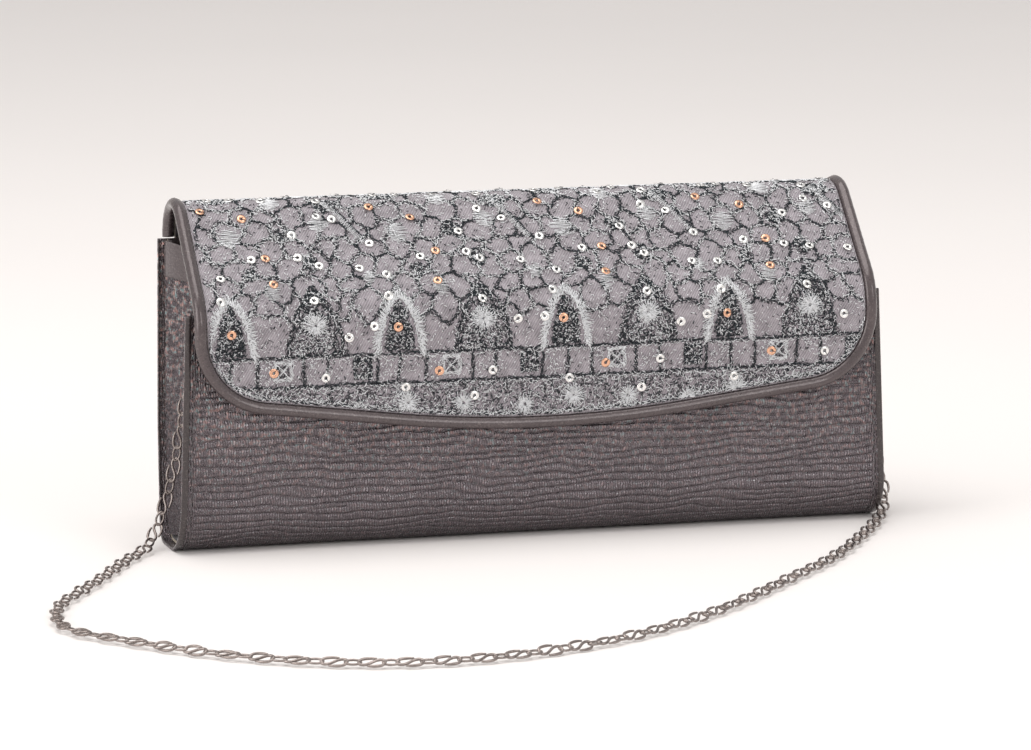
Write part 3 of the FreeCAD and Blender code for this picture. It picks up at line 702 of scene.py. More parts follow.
class ChainMaker(bpy.types.Operator):
    """Make the scroll-link chain along its route"""
    bl_idname = "clutch.chain"
    bl_label = "Chain"

    def execute(self, context):
        sizes = context.scene.clutch_chain
        line = nurbs_line(CHAIN_ROUTE, 0.5)
        run = np.linspace(0, 1, len(line)) * 0.5 * (len(line) - 1)
        total = float(np.sum(np.linalg.norm(np.diff(line, axis=0), axis=1)))
        count = int(round(total / (sizes.pitch / MM)))
        pitch = total / count
        scale = total / run[-1]
        rng = np.random.default_rng(11)
        shape = scroll()
        around = np.linspace(0, math.tau, 20, endpoint=False)
        links = Lot()
        for k in range(2 * count + 1):
            where = k * pitch / 2 / scale
            place = np.array([np.interp(where, run, line[:, i]) for i in range(3)])
            before = np.array([np.interp(where - 4, run, line[:, i]) for i in range(3)])
            after = np.array([np.interp(where + 4, run, line[:, i]) for i in range(3)])
            ahead = unit(after - before)
            hanging = float(smooth_step(place[2], 3.0, 22.0))
            facing = (1 - hanging) * unit([0, -rng.uniform(0.35, 0.75), 1.0])
            facing = facing + hanging * unit([-0.45 if place[0] < 0 else 0.45, -0.9, 0.1])
            facing = unit(facing - ahead * (facing @ ahead))
            facing = rolled(facing, ahead, math.radians(rng.normal(0, 6)))
            across = np.cross(facing, ahead)
            if k % 2:
                wire = place + np.outer(shape[:, 0], ahead) + np.outer(shape[:, 1], across)
                lift = 0.22 * np.sin(np.linspace(-math.pi, math.pi, len(shape)))
                wire = wire + np.outer(lift, facing)
                ends = np.minimum(np.arange(len(wire)), np.arange(len(wire))[::-1])
                taper = sizes.wire / MM * (0.72 + 0.28 * smooth_step(ends, 0, 5))
                links.tube(wire, taper, 8)
            else:
                reach = pitch / 2 - 3.55
                turned = rolled(facing, ahead, math.radians(80))
                loop = place + np.outer(reach * np.cos(around), ahead)
                loop = loop + np.outer(1.3 * np.sin(around), turned)
                links.tube(loop, sizes.loop_wire / MM, 7, closed=True)
        mesh = links.mesh("chain_links")
        piece = show(mesh, "chain_links", material("chain_metal"), "bag_body")
        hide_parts("chain")
        return {"FINISHED"}


# ------------------------------------------------------------------ body
GROOVE_FORKS = 110


def emboss(across, along, pitch, seed):
    """The wavy grooves: how deep each place is, and which band it is in. The grooves fork and join."""
    rng = np.random.default_rng(seed)
    phase = along / pitch + 0.55 * ripple(across, along * 2.2, 34, seed + 1) \
        + 0.22 * ripple(across, along * 1.5, 12, seed + 2)
    for _ in range(GROOVE_FORKS):
        x, s = rng.uniform(-140, 140), rng.uniform(0, along.max())
        sign = 1 if rng.random() < 0.5 else -1
        phase = phase + sign * np.arctan2(along - s, (across - x) / 2.5) / math.tau
    part = phase - np.floor(phase)
    gap = np.minimum(part, 1 - part) * pitch
    groove = np.exp(-(gap / 0.33) ** 2)
    return groove, phase


def edge_columns(half, fine=6.0):
    """Places across, as shares of the half width, closer together near the sides."""
    near = np.arange(0, fine, 0.4)
    middle = np.linspace(fine, 2 * half - fine, int((2 * half - 2 * fine) / 1.5))
    spread = np.concatenate([near, middle, (2 * half - near)[::-1]]) - half
    return spread / half


class SkinMaker(bpy.types.Operator):
    """Make the embossed outer skin that wraps the front, the base and the back"""
    bl_idname = "clutch.skin"
    bl_label = "Outer skin"

    def execute(self, context):
        sizes = context.scene.clutch_body
        along = np.linspace(0, BODY.length, int(BODY.length / 0.42))
        share = edge_columns(HALF_FOOT)
        s, u = np.meshgrid(along, share, indexing="ij")
        _, rise = BODY.at(s)
        half = half_width(rise)
        across = u * half
        groove, phase = emboss(across, s, sizes.groove_pitch / MM, 5)
        from_side = half - np.abs(across)
        margin = sizes.stitch_margin / MM
        plain = smooth_step(from_side, margin + 0.4, margin + 1.6)
        from_end = np.minimum(s, BODY.length - s)
        plain = plain * smooth_step(from_end, 1.5, 3.0)
        inset = groove * plain * sizes.groove_depth / MM
        pillow = np.sin(math.pi * (phase - np.floor(phase))) ** 0.8
        inset = inset + 0.10 * (1 - pillow) * plain
        inset = inset + 0.28 * np.exp(-((from_side - margin) / 0.7) ** 2)
        inset = inset + 0.35 * np.maximum(0, 1 - from_end / 0.8) ** 2
        inset = inset + 0.12 * (1 + ripple(across, s, 60, 3)) * plain
        inset = inset * smooth_step(rise, -0.5, 1.5) + 0.02
        depth, rise = BODY.at(s, inset)
        grid = np.stack([across, depth - CENTRE, rise], -1)
        flat = np.stack([across, s], -1)
        mesh = sheet_mesh("outer_skin", grid, flat, LEATHER - 0.3, {"groove": groove * plain, "band": phase})
        piece = show(mesh, "outer_skin", material("foil"), "bag_body")
        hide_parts("front_panel", "base_panel", "back_panel")
        return {"FINISHED"}


class EdgeMaker(bpy.types.Operator):
    """Make the turned edges of the skin and the stitches beside them"""
    bl_idname = "clutch.edges"
    bl_label = "Turned edges"

    def execute(self, context):
        sizes = context.scene.clutch_body
        along = np.linspace(0.15, BODY.length - 0.15, int(BODY.length / 0.9))
        angles = np.linspace(math.pi, 0, 13)
        section_in = np.concatenate([[0.25, 0.0], 1.15 - 1.15 * np.cos(math.pi - angles), [2.2]])
        section_out = np.concatenate([[-1.0, -0.45], 0.5 * np.sin(angles), [-0.2]])
        margin = sizes.stitch_margin / MM
        for word, side in (("left", -1), ("right", 1)):
            s, k = np.meshgrid(along, np.arange(len(section_in)), indexing="ij")
            _, level = BODY.at(s)
            proud = smooth_step(level, 0.6, 7.0) * (0.93 + 0.10 * ripple(s, 0 * s, 14, 21 + side))
            out = section_out[k]
            inset = -np.where(out > 0, out * proud, out) + 0.04
            depth, rise = BODY.at(s, inset)
            across = side * (half_width(level) - section_in[k] - 0.05)
            grid = np.stack([across, depth - CENTRE, rise], -1)
            if side > 0:
                grid = grid[:, ::-1]
            flat = np.stack([section_in[k], s], -1)
            mesh = sheet_mesh(f"edge_roll_{word}", grid, flat, 0.25)
            piece = show(mesh, f"edge_roll_{word}", material("edge_leatherette"), "bag_body")
            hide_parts(f"front_edge_roll_{word}", f"back_edge_roll_{word}")
            seam = Lot()
            pitch = sizes.stitch_pitch / MM
            for start in np.arange(2.2, BODY.length - 4, pitch):
                places = np.linspace(start, start + pitch * 0.72, 7)
                _, level = BODY.at(places)
                arch = 0.26 - 0.24 * np.sin(np.linspace(0, math.pi, 7)) ** 0.6
                depth, rise = BODY.at(places, arch)
                wide = side * (half_width(level) - margin)
                line = np.stack([wide, depth - CENTRE, np.maximum(rise, 0.3)], -1)
                seam.tube(line, [0.12, 0.2, 0.22, 0.22, 0.22, 0.2, 0.12], 6)
            name = f"edge_stitches_{word}"
            show(seam.mesh(name), name, material("seam_thread"), "bag_body")
        return {"FINISHED"}


def wall_depths(rise, inset):
    """The depths of the front and back walls' inner faces at heights."""
    tall = Path([(1.3 * BACK_TOP / FRONT_TOP, BACK_TOP + 2, 0), (0, 0, 17), (35, 0, 9), (44, 43, 120),
                 (52.2, BACK_TOP + 2, 0)])
    depth, height = tall.at(tall.along, inset)
    lowest = int(np.argmin(height))
    return (np.interp(rise, height[:lowest][::-1], depth[:lowest][::-1]),
            np.interp(rise, height[lowest:], depth[lowest:]))


def gusset_grid(side, levels, columns, inset, waver=0.0):
    """A box-folded gusset with soft folds: rows up its height, columns from the front wall to the back."""
    rows = []
    for rise in levels:
        top = max(rise - 60.0, 0.0)
        front_rise = rise if rise <= 60 else 60 + top * 28 / 50
        fold_rise = rise if rise <= 60 else 60 + top * 46.5 / 50
        share = min(rise / 60.0, 1.0)
        fold = 2.0 + 10.0 * share
        front = float(wall_depths(front_rise, 2.65)[0])
        back = float(wall_depths(rise, 2.65)[1])
        middle = float(sum(wall_depths(fold_rise, 2.65))) / 2
        flat = min(7.0, (back - front) / 4) * max(share, 0.35)
        line = [(half_width(front_rise) - 2.5, front, front_rise),
                (half_width(fold_rise) - 2.5 - fold, middle - flat, fold_rise),
                (half_width(fold_rise) - 2.5 - fold, middle + flat, fold_rise),
                (half_width(rise) - 2.5, back, rise)]
        corners = np.array(line, float)
        heading = unit(np.diff(corners, axis=0))
        soft = []
        for k in (1, 2):
            reach = 0.32 * min(np.linalg.norm(corners[k] - corners[j]) for j in (k - 1, k + 1))
            start, end = corners[k] - heading[k - 1] * reach, corners[k] + heading[k] * reach
            for t in np.linspace(0, 1, 8):
                soft.append((1 - t) ** 2 * start + 2 * t * (1 - t) * corners[k] + t * t * end)
        points = evenly(np.concatenate([[corners[0]], soft, [corners[3]]]), 0.2)
        pick = np.linspace(0, len(points) - 1, columns)
        row = np.stack([np.interp(pick, np.arange(len(points)), points[:, i]) for i in range(3)], 1)
        rows.append(row)
    grid = np.array(rows)
    across_run = unit(np.gradient(grid, axis=1))
    up_run = unit(np.gradient(grid, axis=0))
    normal = unit(np.cross(across_run, up_run))
    normal = normal * np.sign(normal[:, :, :1] + 1e-9)
    column = np.linspace(0, 1, columns)
    fade = np.sin(math.pi * column)[None, :] ** 0.5
    sag = waver * fade * (ripple(column[None, :] * 40, np.array(levels)[:, None], 38, 31 + side) - 0.4)
    grid = grid - normal * (inset - sag)[:, :, None]
    grid[:, :, 0] *= side
    return np.stack([grid[:, :, 0], grid[:, :, 1] - CENTRE, grid[:, :, 2]], -1)


class GussetMaker(bpy.types.Operator):
    """Make the folded gussets with their smooth bands and their lining"""
    bl_idname = "clutch.gussets"
    bl_label = "Gussets"

    def execute(self, context):
        pitch = context.scene.clutch_body.groove_pitch / MM
        for word, side in (("left", -1), ("right", 1)):
            columns = 90
            levels = np.linspace(3.4, 110.0, 250)
            flat = np.stack(np.meshgrid(levels, np.linspace(0, 56, columns), indexing="ij")[::-1], -1)
            groove, phase = emboss(flat[:, :, 0] * 3, flat[:, :, 1], pitch, 40 + side)
            grid = gusset_grid(side, levels, columns, 0.02, 0.35)
            grid[:, :, 0] -= side * groove * 0.14
            grid = grid[:, ::-1] if side > 0 else grid
            keep = slice(None, None, -1) if side > 0 else slice(None)
            mesh = sheet_mesh(f"gusset_skin_{word}", grid, flat[:, keep], 0.6,
                              {"groove": groove[:, keep], "band": phase[:, keep]})
            piece = show(mesh, f"gusset_skin_{word}", material("foil"), "bag_body")
            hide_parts(f"gusset_{word}")
            band = np.linspace(97.0, 110.25, 34)
            grid = gusset_grid(side, band, columns, -0.5, 0.35)
            flat = np.stack(np.meshgrid(band, np.linspace(0, 56, columns), indexing="ij")[::-1], -1)
            grid = grid[:, ::-1] if side > 0 else grid
            mesh = sheet_mesh(f"gusset_band_{word}", grid, flat, 0.5)
            piece = show(mesh, f"gusset_band_{word}", material("band_leatherette"), "bag_body")
            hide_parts(f"gusset_facing_{word}")
            lined = np.linspace(3.8, 109.0, 60)
            grid = gusset_grid(side, lined, 50, 0.95, 0.2)
            flat = np.stack(np.meshgrid(lined, np.linspace(0, 56, 50), indexing="ij")[::-1], -1)
            grid = grid[:, ::-1] if side > 0 else grid
            mesh = sheet_mesh(f"gusset_inside_{word}", grid, flat, 0.3)
            piece = show(mesh, f"gusset_inside_{word}", material("lining_cloth"), "bag_body")
            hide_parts(f"gusset_lining_{word}")
        return {"FINISHED"}


def wall_sheet(name, start, end, inset, thickness, half_less, waver, seed, half=None):
    """A sheet against the inside of the wall, between two lengths along the body's path."""
    along = np.linspace(start, end, max(6, int((end - start) / 1.6)))
    share = np.linspace(-1, 1, 120)
    s, u = np.meshgrid(along, share, indexing="ij")
    _, rise = BODY.at(s)
    across = u * (half_width(rise) - half_less if half is None else half)
    edge = np.minimum(np.minimum(s - start, end - s) / 3, (1 - np.abs(u)) * 30)
    sway = waver * smooth_step(edge, 0, 1) * (1 + ripple(across, s, 45, seed)) / 2
    depth, rise = BODY.at(s, inset + sway)
    grid = np.stack([across, depth - CENTRE, rise], -1)
    return sheet_mesh(name, grid, np.stack([across, s], -1), thickness)


class LiningMaker(bpy.types.Operator):
    """Make the lining of the walls with its smooth bands at the mouth"""
    bl_idname = "clutch.lining"
    bl_label = "Lining"

    def execute(self, context):
        band = 13.0
        whole = BODY.length
        mesh = wall_sheet("body_lining", band - 0.5, whole - band + 0.5, BOARD + 0.02, 0.4, 3.6, 0.3, 61)
        piece = show(mesh, "body_lining", material("lining_cloth"), "bag_body")
        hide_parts("front_lining", "base_lining", "back_lining")
        for word, start, end in (("front_band", 0.1, band), ("back_band", whole - band, whole - 0.1)):
            mesh = wall_sheet(word, start, end, BOARD + 0.01, 0.5, 3.55, 0.05, 62)
            piece = show(mesh, word, material("band_leatherette"), "bag_body")
            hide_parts("front_facing" if start < 1 else "back_facing")
        return {"FINISHED"}


class PocketMaker(bpy.types.Operator):
    """Make the slip pocket on the back wall"""
    bl_idname = "clutch.pocket"
    bl_label = "Slip pocket"

    def execute(self, context):
        back = BODY.points[:, 1]
        from_base = int(np.argmax(BODY.points[:, 0] > 36))
        low = float(np.interp(34.0, back[from_base:], BODY.along[from_base:]))
        high = float(np.interp(92.0, back[from_base:], BODY.along[from_base:]))
        hem = float(np.interp(86.0, back[from_base:], BODY.along[from_base:]))
        mesh = wall_sheet("pocket_cloth", low, high, LINING + 0.02, 0.4, 0, 0.5, 71, half=75.0)
        piece = show(mesh, "pocket_cloth", material("lining_cloth"), "bag_body")
        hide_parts("slip_pocket")
        mesh = wall_sheet("pocket_edge", hem, high + 0.3, LINING + 0.95, 0.5, 0, 0.05, 72, half=75.2)
        piece = show(mesh, "pocket_edge", material("band_leatherette"), "bag_body")
        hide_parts("pocket_binding")
        seam = Lot()
        for side in (-1, 1):
            for start in np.arange(low + 1, high - 7, 2.6):
                depth, rise = BODY.at(np.linspace(start, start + 1.8, 5), LINING + 0.5)
                seam.tube(np.stack([side * 73.4 + 0 * depth, depth - CENTRE, rise], -1), 0.18, 6)
        for start in np.arange(-73.0, 71.5, 2.6):
            places = np.linspace(start, start + 1.8, 5)
            depth, rise = BODY.at(low + 1.4 + 0 * places, LINING + 0.5)
            seam.tube(np.stack([places, depth - CENTRE, rise], -1), 0.18, 6)
        mesh = seam.mesh("pocket_stitches")
        show(mesh, "pocket_stitches", material("seam_thread"), "bag_body")
        return {"FINISHED"}


class TabMaker(bpy.types.Operator):
    """Make the leather loops that hold the rings"""
    bl_idname = "clutch.tabs"
    bl_label = "Ring loops"

    def execute(self, context):
        for word, side in (("left", -1), ("right", 1)):
            outer = rounded([(0.75, 9.4, 0), (2.2, 9.4, 0.3), (2.2, -2.2, 2.0), (-2.2, -2.2, 2.0),
                             (-2.2, 2.1, 1.9), (0.62, 2.6, 0.9), (0.62, 9.4, 0)])
            widths = np.linspace(-2.5, 2.5, 9)
            rows = []
            for y in widths:
                shrink = 0.10 * (abs(y) / 2.5) ** 6
                ring = outer * (1 - shrink * 0.5)
                rows.append(np.stack([side * (RING_X - ring[:, 0]), RING_Y + y + 0 * ring[:, 0],
                                      RING_Z + ring[:, 1]], 1))
            grid = np.array(rows)
            if side < 0:
                grid = grid[::-1]
            flat = np.stack(np.meshgrid(widths, np.linspace(0, 26, len(outer)), indexing="ij"), -1)
            mesh = sheet_mesh(f"ring_loop_{word}", grid, flat, 0.55)
            piece = show(mesh, f"ring_loop_{word}", material("band_leatherette"), "bag_body")
            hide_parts(f"ring_tab_{word}")
        return {"FINISHED"}


# ------------------------------------------------------------------ flap
def flap_sheet(name, inset, thickness, waver, seed, edge_gap=0.0):
    """A sheet over the whole flap at an inset, from the hinge to its curved lower edge."""
    near = np.linspace(0, 1, 12) ** 1.6 * 6
    between = np.linspace(6, 2 * COVER_HALF - 6, 150)[1:-1]
    across = np.concatenate([near, between, 2 * COVER_HALF - near[::-1]])
    across = (across - COVER_HALF) * (COVER_HALF - edge_gap) / COVER_HALF
    share = np.linspace(0, 1, 150)
    t, x = np.meshgrid(share, across, indexing="ij")
    end = LACE_ZERO - (cover_foot(x) + edge_gap - LACE_FOOT)
    s = 0.2 + t * (end - 0.2)
    sway = waver * smooth_step(np.minimum(t, 1 - t) * 20, 0, 1) * ripple(x, s, 30, seed)
    sink = 0.25 * np.maximum(0, 1 - (COVER_HALF - np.abs(x)) / 1.2) ** 2
    depth, rise = FLAP.at(s, inset + sway + sink)
    grid = np.stack([x, depth - CENTRE, rise], -1)
    return sheet_mesh(name, grid, np.stack([x, s], -1), thickness)


class CoverMaker(bpy.types.Operator):
    """Make the twill cover of the flap and the lining under it"""
    bl_idname = "clutch.cover"
    bl_label = "Flap cover"

    def execute(self, context):
        mesh = flap_sheet("flap_twill", 0.62, 0.5, 0.05, 81)
        piece = show(mesh, "flap_twill", material("twill"), "flap")
        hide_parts("flap_cover")
        mesh = flap_sheet("flap_inside", 2.05, 0.5, 0.06, 82, 0.1)
        piece = show(mesh, "flap_inside", material("lining_cloth"), "flap")
        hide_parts("flap_lining")
        return {"FINISHED"}


class LaceDraft:
    """The stitches of the lace before they are made, dark and pale, as starts and ends across and up."""

    def __init__(self, repeat):
        self.rng = np.random.default_rng(17)
        self.repeat = repeat
        self.kept = {"dark": [], "pale": []}

    def put(self, kind, centres, angles, lengths):
        """Keeps straight stitches by their centres, directions and lengths, cut to the cover."""
        centres = np.asarray(centres, float).reshape(-1, 2)
        angles = np.broadcast_to(angles, (len(centres),))
        lengths = np.broadcast_to(lengths, (len(centres),))
        arm = np.stack([np.cos(angles), np.sin(angles)], 1) * lengths[:, None] / 2
        starts, ends = centres - arm, centres + arm
        inside = np.ones(len(centres), bool)
        for p in (starts, ends):
            foot = cover_foot(p[:, 0]) - LACE_FOOT
            inside &= np.abs(p[:, 0]) < COVER_HALF - 0.4
            inside &= (p[:, 1] > foot + 0.4) & (p[:, 1] < LACE_ZERO - 1.5)
        self.kept[kind].append((starts[inside], ends[inside]))

    def line(self, points, kind, density=2.6, spread=0.45, size=1.5, lean=0.5):
        """A fuzzy cord of stitches along a line."""
        places = evenly(points, 1.0 / density)
        heading = np.gradient(places, axis=0)
        angle = np.arctan2(heading[:, 1], heading[:, 0]) + self.rng.normal(0, lean, len(places))
        side = np.stack([-heading[:, 1], heading[:, 0]], 1)
        places = places + unit(side) * self.rng.normal(0, spread, len(places))[:, None]
        self.put(kind, places, angle, size * self.rng.uniform(0.6, 1.3, len(places)))

    def fill(self, kind, middle, reach, count, size=1.2, shape=None):
        """Stitches in every direction over a patch."""
        spots = self.rng.uniform(-1, 1, (count, 2))
        if shape:
            spots = spots[shape(spots[:, 0], spots[:, 1])]
        places = np.array(middle) + spots * np.array(reach)
        self.put(kind, places, self.rng.uniform(0, math.pi, len(places)),
                 size * self.rng.uniform(0.5, 1.3, len(places)))

    def rays(self, middle, inner, outer, count, kind="pale", squash=1.0):
        """Stitches that point outward round a middle."""
        angle = np.linspace(0, math.tau, count, endpoint=False) + self.rng.normal(0, 0.05, count)
        reach = self.rng.uniform(0.85, 1.1, count) * (inner + outer) / 2
        spots = np.stack([np.cos(angle) * reach, np.sin(angle) * reach * squash], 1)
        self.put(kind, np.array(middle) + spots, angle, (outer - inner) * self.rng.uniform(0.8, 1.2, count))

    def arch(self, middle, foot, width, height):
        """The outline of a pointed arch."""
        t = np.linspace(0, 1, 40)
        half = width / 2 * (1 - t ** 1.7) ** 0.75
        left = np.stack([middle - half, foot + t * height], 1)
        right = np.stack([middle + half[::-1], foot + t[::-1] * height], 1)
        return np.concatenate([left, right])

    def mesh(self, kind, name, width, height, inset):
        """The stitches of one colour as a mesh."""
        starts = np.concatenate([a for a, _ in self.kept[kind]])
        ends = np.concatenate([b for _, b in self.kept[kind]])
        count = len(starts)
        thick = width * self.rng.uniform(0.75, 1.25, count)
        sunk = inset - self.rng.uniform(0, 0.12, count)
        return stitch_mesh(name, starts, ends, thick, height, sunk)


def net_lines(rng, cell, low, high):
    """The sides of an uneven net of six-sided cells."""
    half = cell / 2
    rise = cell * 0.87
    rows = int((high - low) / rise) + 2
    count = int(2 * COVER_HALF / half) + 4
    place = {}
    for r in range(rows):
        for c in range(count):
            zig = 0.16 * cell if (r + c) % 2 else -0.16 * cell
            jitter = rng.normal(0, 0.13 * cell, 2)
            place[r, c] = np.array([-COVER_HALF - half + c * half, low + r * rise + zig]) + jitter
    lines = []
    for (r, c), here in place.items():
        if (r, c + 1) in place:
            lines.append((here, place[r, c + 1]))
        if (r + c) % 2 and (r + 1, c) in place:
            lines.append((here, place[r + 1, c]))
    return lines


def bowed(start, end, bow):
    """A gently bent line between two places."""
    t = np.linspace(0, 1, 9)[:, None]
    side = np.array([-(end - start)[1], (end - start)[0]])
    return start + (end - start) * t + side * bow * 4 * t * (1 - t)


BAND_LOW, BAND_HIGH = 21.5, 32.5
ARCH_MIDDLE = 9.0
# Motifs of one repeat: across from its arch, up, and half of each size.
HATCHED_OVALS = [(5, 83, 4.6, 4.4), (17, 57.5, 3.2, 4.0), (-24, 88, 4.4, 3.6), (23, 99, 4.2, 3.6),
                 (-9, 63, 2.6, 3.0), (-28, 108, 4.2, 3.8), (8, 121, 4.4, 4.0), (29, 132, 4, 3.6)]
DARK_OVALS = [(-19, 97, 5.5, 3.5), (-30, 70, 3.2, 4.0), (10, 66, 3.2, 3.0), (26, 84, 4.0, 3.0),
              (2, 103, 6.0, 3.0), (-12, 112, 5, 4), (20, 117, 5, 4)]


def inside_arch(across, up):
    """Whether places, as shares of its reach from -1 to 1, are inside a pointed arch."""
    return np.abs(across) < (1 - ((up + 1) / 2) ** 1.7) ** 0.75


def inside_oval(across, up):
    """Whether places, as shares of its reach from -1 to 1, are inside an oval."""
    return across * across + up * up < 1


def draw_lace(draft, cell):
    """The whole design: net, arches, border, rosettes, hatched ovals and scroll stems."""
    rng = draft.rng
    for start, end in net_lines(rng, cell, 47.0, LACE_ZERO + 6):
        line = bowed(start, end, rng.normal(0, 0.12))
        draft.line(line, "dark", 3.2, 0.38, 1.5, 0.6)
        if rng.random() < 0.6:
            draft.line(line, "pale", 2.2, 0.8, 1.2, 0.9)
    for repeat in range(-3, 4):
        x = ARCH_MIDDLE + repeat * draft.repeat
        white = draft.arch(x, BAND_HIGH + 0.5, 16, 21)
        draft.line(white, "pale", 3.5, 0.5, 1.4, 0.4)
        outward = white - np.array([x, 42.0])
        for step in (0.6, 1.9):
            draft.put("pale", white + unit(outward) * step + rng.normal(0, 0.3, white.shape),
                      np.arctan2(outward[:, 1], outward[:, 0]) + rng.normal(0, 0.3, len(white)),
                      rng.uniform(1.8, 3.2, len(white)))
        draft.put("pale", white + unit(outward) * 1.1, np.arctan2(outward[:, 1], outward[:, 0])
                  + rng.normal(0, 0.25, len(white)), rng.uniform(2.0, 3.6, len(white)))
        draft.fill("dark", (x, 43.0), (5.6, 9.5), 900, 1.3, inside_arch)
        draft.fill("pale", (x, 43.0), (5.2, 9.0), 170, 0.9, inside_arch)
        dark_x = x + draft.repeat / 2
        bell = draft.arch(dark_x, BAND_HIGH, 21, 25)
        draft.line(bell, "dark", 5.0, 0.7, 1.6, 0.6)
        draft.line(bell, "pale", 1.6, 1.0, 1.0, 1.2)
        draft.fill("dark", (dark_x, 44.5), (9.5, 12.0), 950, 1.3, inside_arch)
        draft.fill("pale", (dark_x, 42.0), (8.5, 9.0), 420, 1.0, inside_arch)
        draft.rays((dark_x, 44.0), 0.8, 3.6, 60)
        draft.rays((dark_x, 44.0), 2.8, 5.0, 34, squash=0.9)
        draft.fill("dark", (dark_x, 57.0), (3.2, 4.0), 170, 1.2, inside_arch)
        draft.fill("pale", (dark_x - 31, 17.0), (3.4, 5.0), 80, 1.1)
        square = np.array([[-3.0, -3.2], [3.0, -3.2], [3.0, 3.2], [-3.0, 3.2], [-3.0, -3.2]])
        for offset, kind in ((19.4, "pale"), (-14.1, "dark")):
            middle = np.array([x + offset, 27.5])
            draft.line(middle + square, kind, 5.0, 0.4, 1.2, 0.5)
            if kind == "pale":
                draft.fill("dark", middle, (2.2, 2.4), 60, 1.0)
                for corner in (square[0], square[1]):
                    draft.line(np.array([middle + corner, middle - corner]), "pale", 2.6, 0.2, 1.3, 0.2)
            else:
                draft.fill("dark", middle, (3.4, 4.2), 170, 1.2)
                draft.fill("pale", middle, (3.4, 4.2), 70, 0.9)
        for offset, up, size in ((3.0, 14.0, 3.4), (-16, 11.5, 2.6), (24, 13.0, 2.8)):
            draft.rays((x + offset, up), 0.7, size, 46)
            draft.rays((x + offset, up), size - 0.6, size + 1.2, 30)
        for offset, up, wide, tall in HATCHED_OVALS:
            rows = np.arange(-tall, tall, 0.55)
            spots = np.stack([x + offset + rng.normal(0, 0.3, len(rows)), up + rows], 1)
            leans = rng.normal(0, 0.12, len(rows))
            spread = 2 * wide * np.sqrt(np.maximum(0.05, 1 - (rows / tall) ** 2))
            draft.put("pale", spots, leans, spread * rng.uniform(0.7, 1.05, len(rows)))
        stem = np.array([[x - 20.5, 98.5], [x - 15, 90.0], [x - 8.5, 79.0]])
        steps = evenly(stem, 0.5)
        draft.put("pale", steps, 0.75 + rng.normal(0, 0.15, len(steps)), rng.uniform(2.2, 3.0, len(steps)))
        draft.line(stem + [0.9, 0.9], "dark", 4.0, 0.3, 1.4, 0.3)
        for offset, up, width, tall in DARK_OVALS:
            draft.fill("dark", (x + offset, up), (width, tall), int(16 * width * tall), 1.3,
                       inside_oval)
            draft.fill("pale", (x + offset, up), (width, tall), int(4 * width * tall), 1.0)
        for offset in (-27.5, -8.8, 0.4, 9.5, 27.0):
            wobble = rng.normal(0, 0.5, 2)
            post = np.array([[x + offset + wobble[0], BAND_LOW], [x + offset + wobble[1], BAND_HIGH]])
            draft.line(post, "dark", 4.0, 0.35, 1.3, 0.5)
        for offset in (-3, 14, 34):
            draft.fill("pale", (x + offset, 27.0), (5, 4.6), 46, 1.0)
    across = np.arange(-COVER_HALF, COVER_HALF, 2.0)
    for up in (BAND_LOW, BAND_HIGH):
        edge = np.stack([across, up + 0.5 * ripple(across, 0 * across, 25, int(up))], 1)
        draft.line(edge, "dark", 3.4, 0.35, 1.6, 0.35)
        draft.line(edge + [0, -0.9], "pale", 1.5, 0.5, 1.1, 0.7)
    for kind, count in (("dark", 5200), ("pale", 2600)):
        draft.fill(kind, (0.0, 10.5), (COVER_HALF, 10.5), count, 1.3)
    for kind, count in (("dark", 3600), ("pale", 8200)):
        draft.fill(kind, (0.0, 78.0), (COVER_HALF, 78.0), count, 1.0)
    rim = COVER_EDGE - [0, LACE_FOOT]
    draft.line(rim + [0, 1.6], "pale", 3.0, 0.7, 1.4, 0.8)
    draft.line(rim + [0, 1.2], "dark", 4.0, 0.5, 1.3, 0.6)


class LaceMaker(bpy.types.Operator):
    """Make the embroidered lace of the flap: its dark net and its pale stitches"""
    bl_idname = "clutch.lace"
    bl_label = "Lace"

    def execute(self, context):
        sizes = context.scene.clutch_flap
        draft = LaceDraft(sizes.repeat / MM)
        draw_lace(draft, sizes.cell / MM)
        dark = draft.mesh("dark", "lace_net", 0.14, 0.3, 0.62)
        piece = show(dark, "lace_net", material("dark_thread"), "flap")
        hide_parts("flap_lace")
        pale = draft.mesh("pale", "lace_embroidery", 0.13, 0.28, 0.46)
        show(pale, "lace_embroidery", material("pale_thread"), "flap")
        return {"FINISHED"}


SEQUINS_PER_REPEAT = 34
SEQUIN_GAP = 7.5
SEQUIN_LOW, SEQUIN_HIGH = 15.0, 133.0
COPPER_HIGH = 100.0
COPPER_SHARE = 0.3


def sequin_places(rng, repeat):
    """One repeat's sequins, scattered no closer than their gap: across, up, and 1 where it is copper."""
    places = []
    while len(places) < SEQUINS_PER_REPEAT:
        across, up = rng.uniform(-repeat / 2, repeat / 2), rng.uniform(SEQUIN_LOW, SEQUIN_HIGH)
        apart = [math.hypot(min(abs(across - x), repeat - abs(across - x)), up - y) for x, y, _ in places]
        if not places or min(apart) > SEQUIN_GAP:
            places.append((across, up, int(up < COPPER_HIGH and rng.random() < COPPER_SHARE)))
    return places


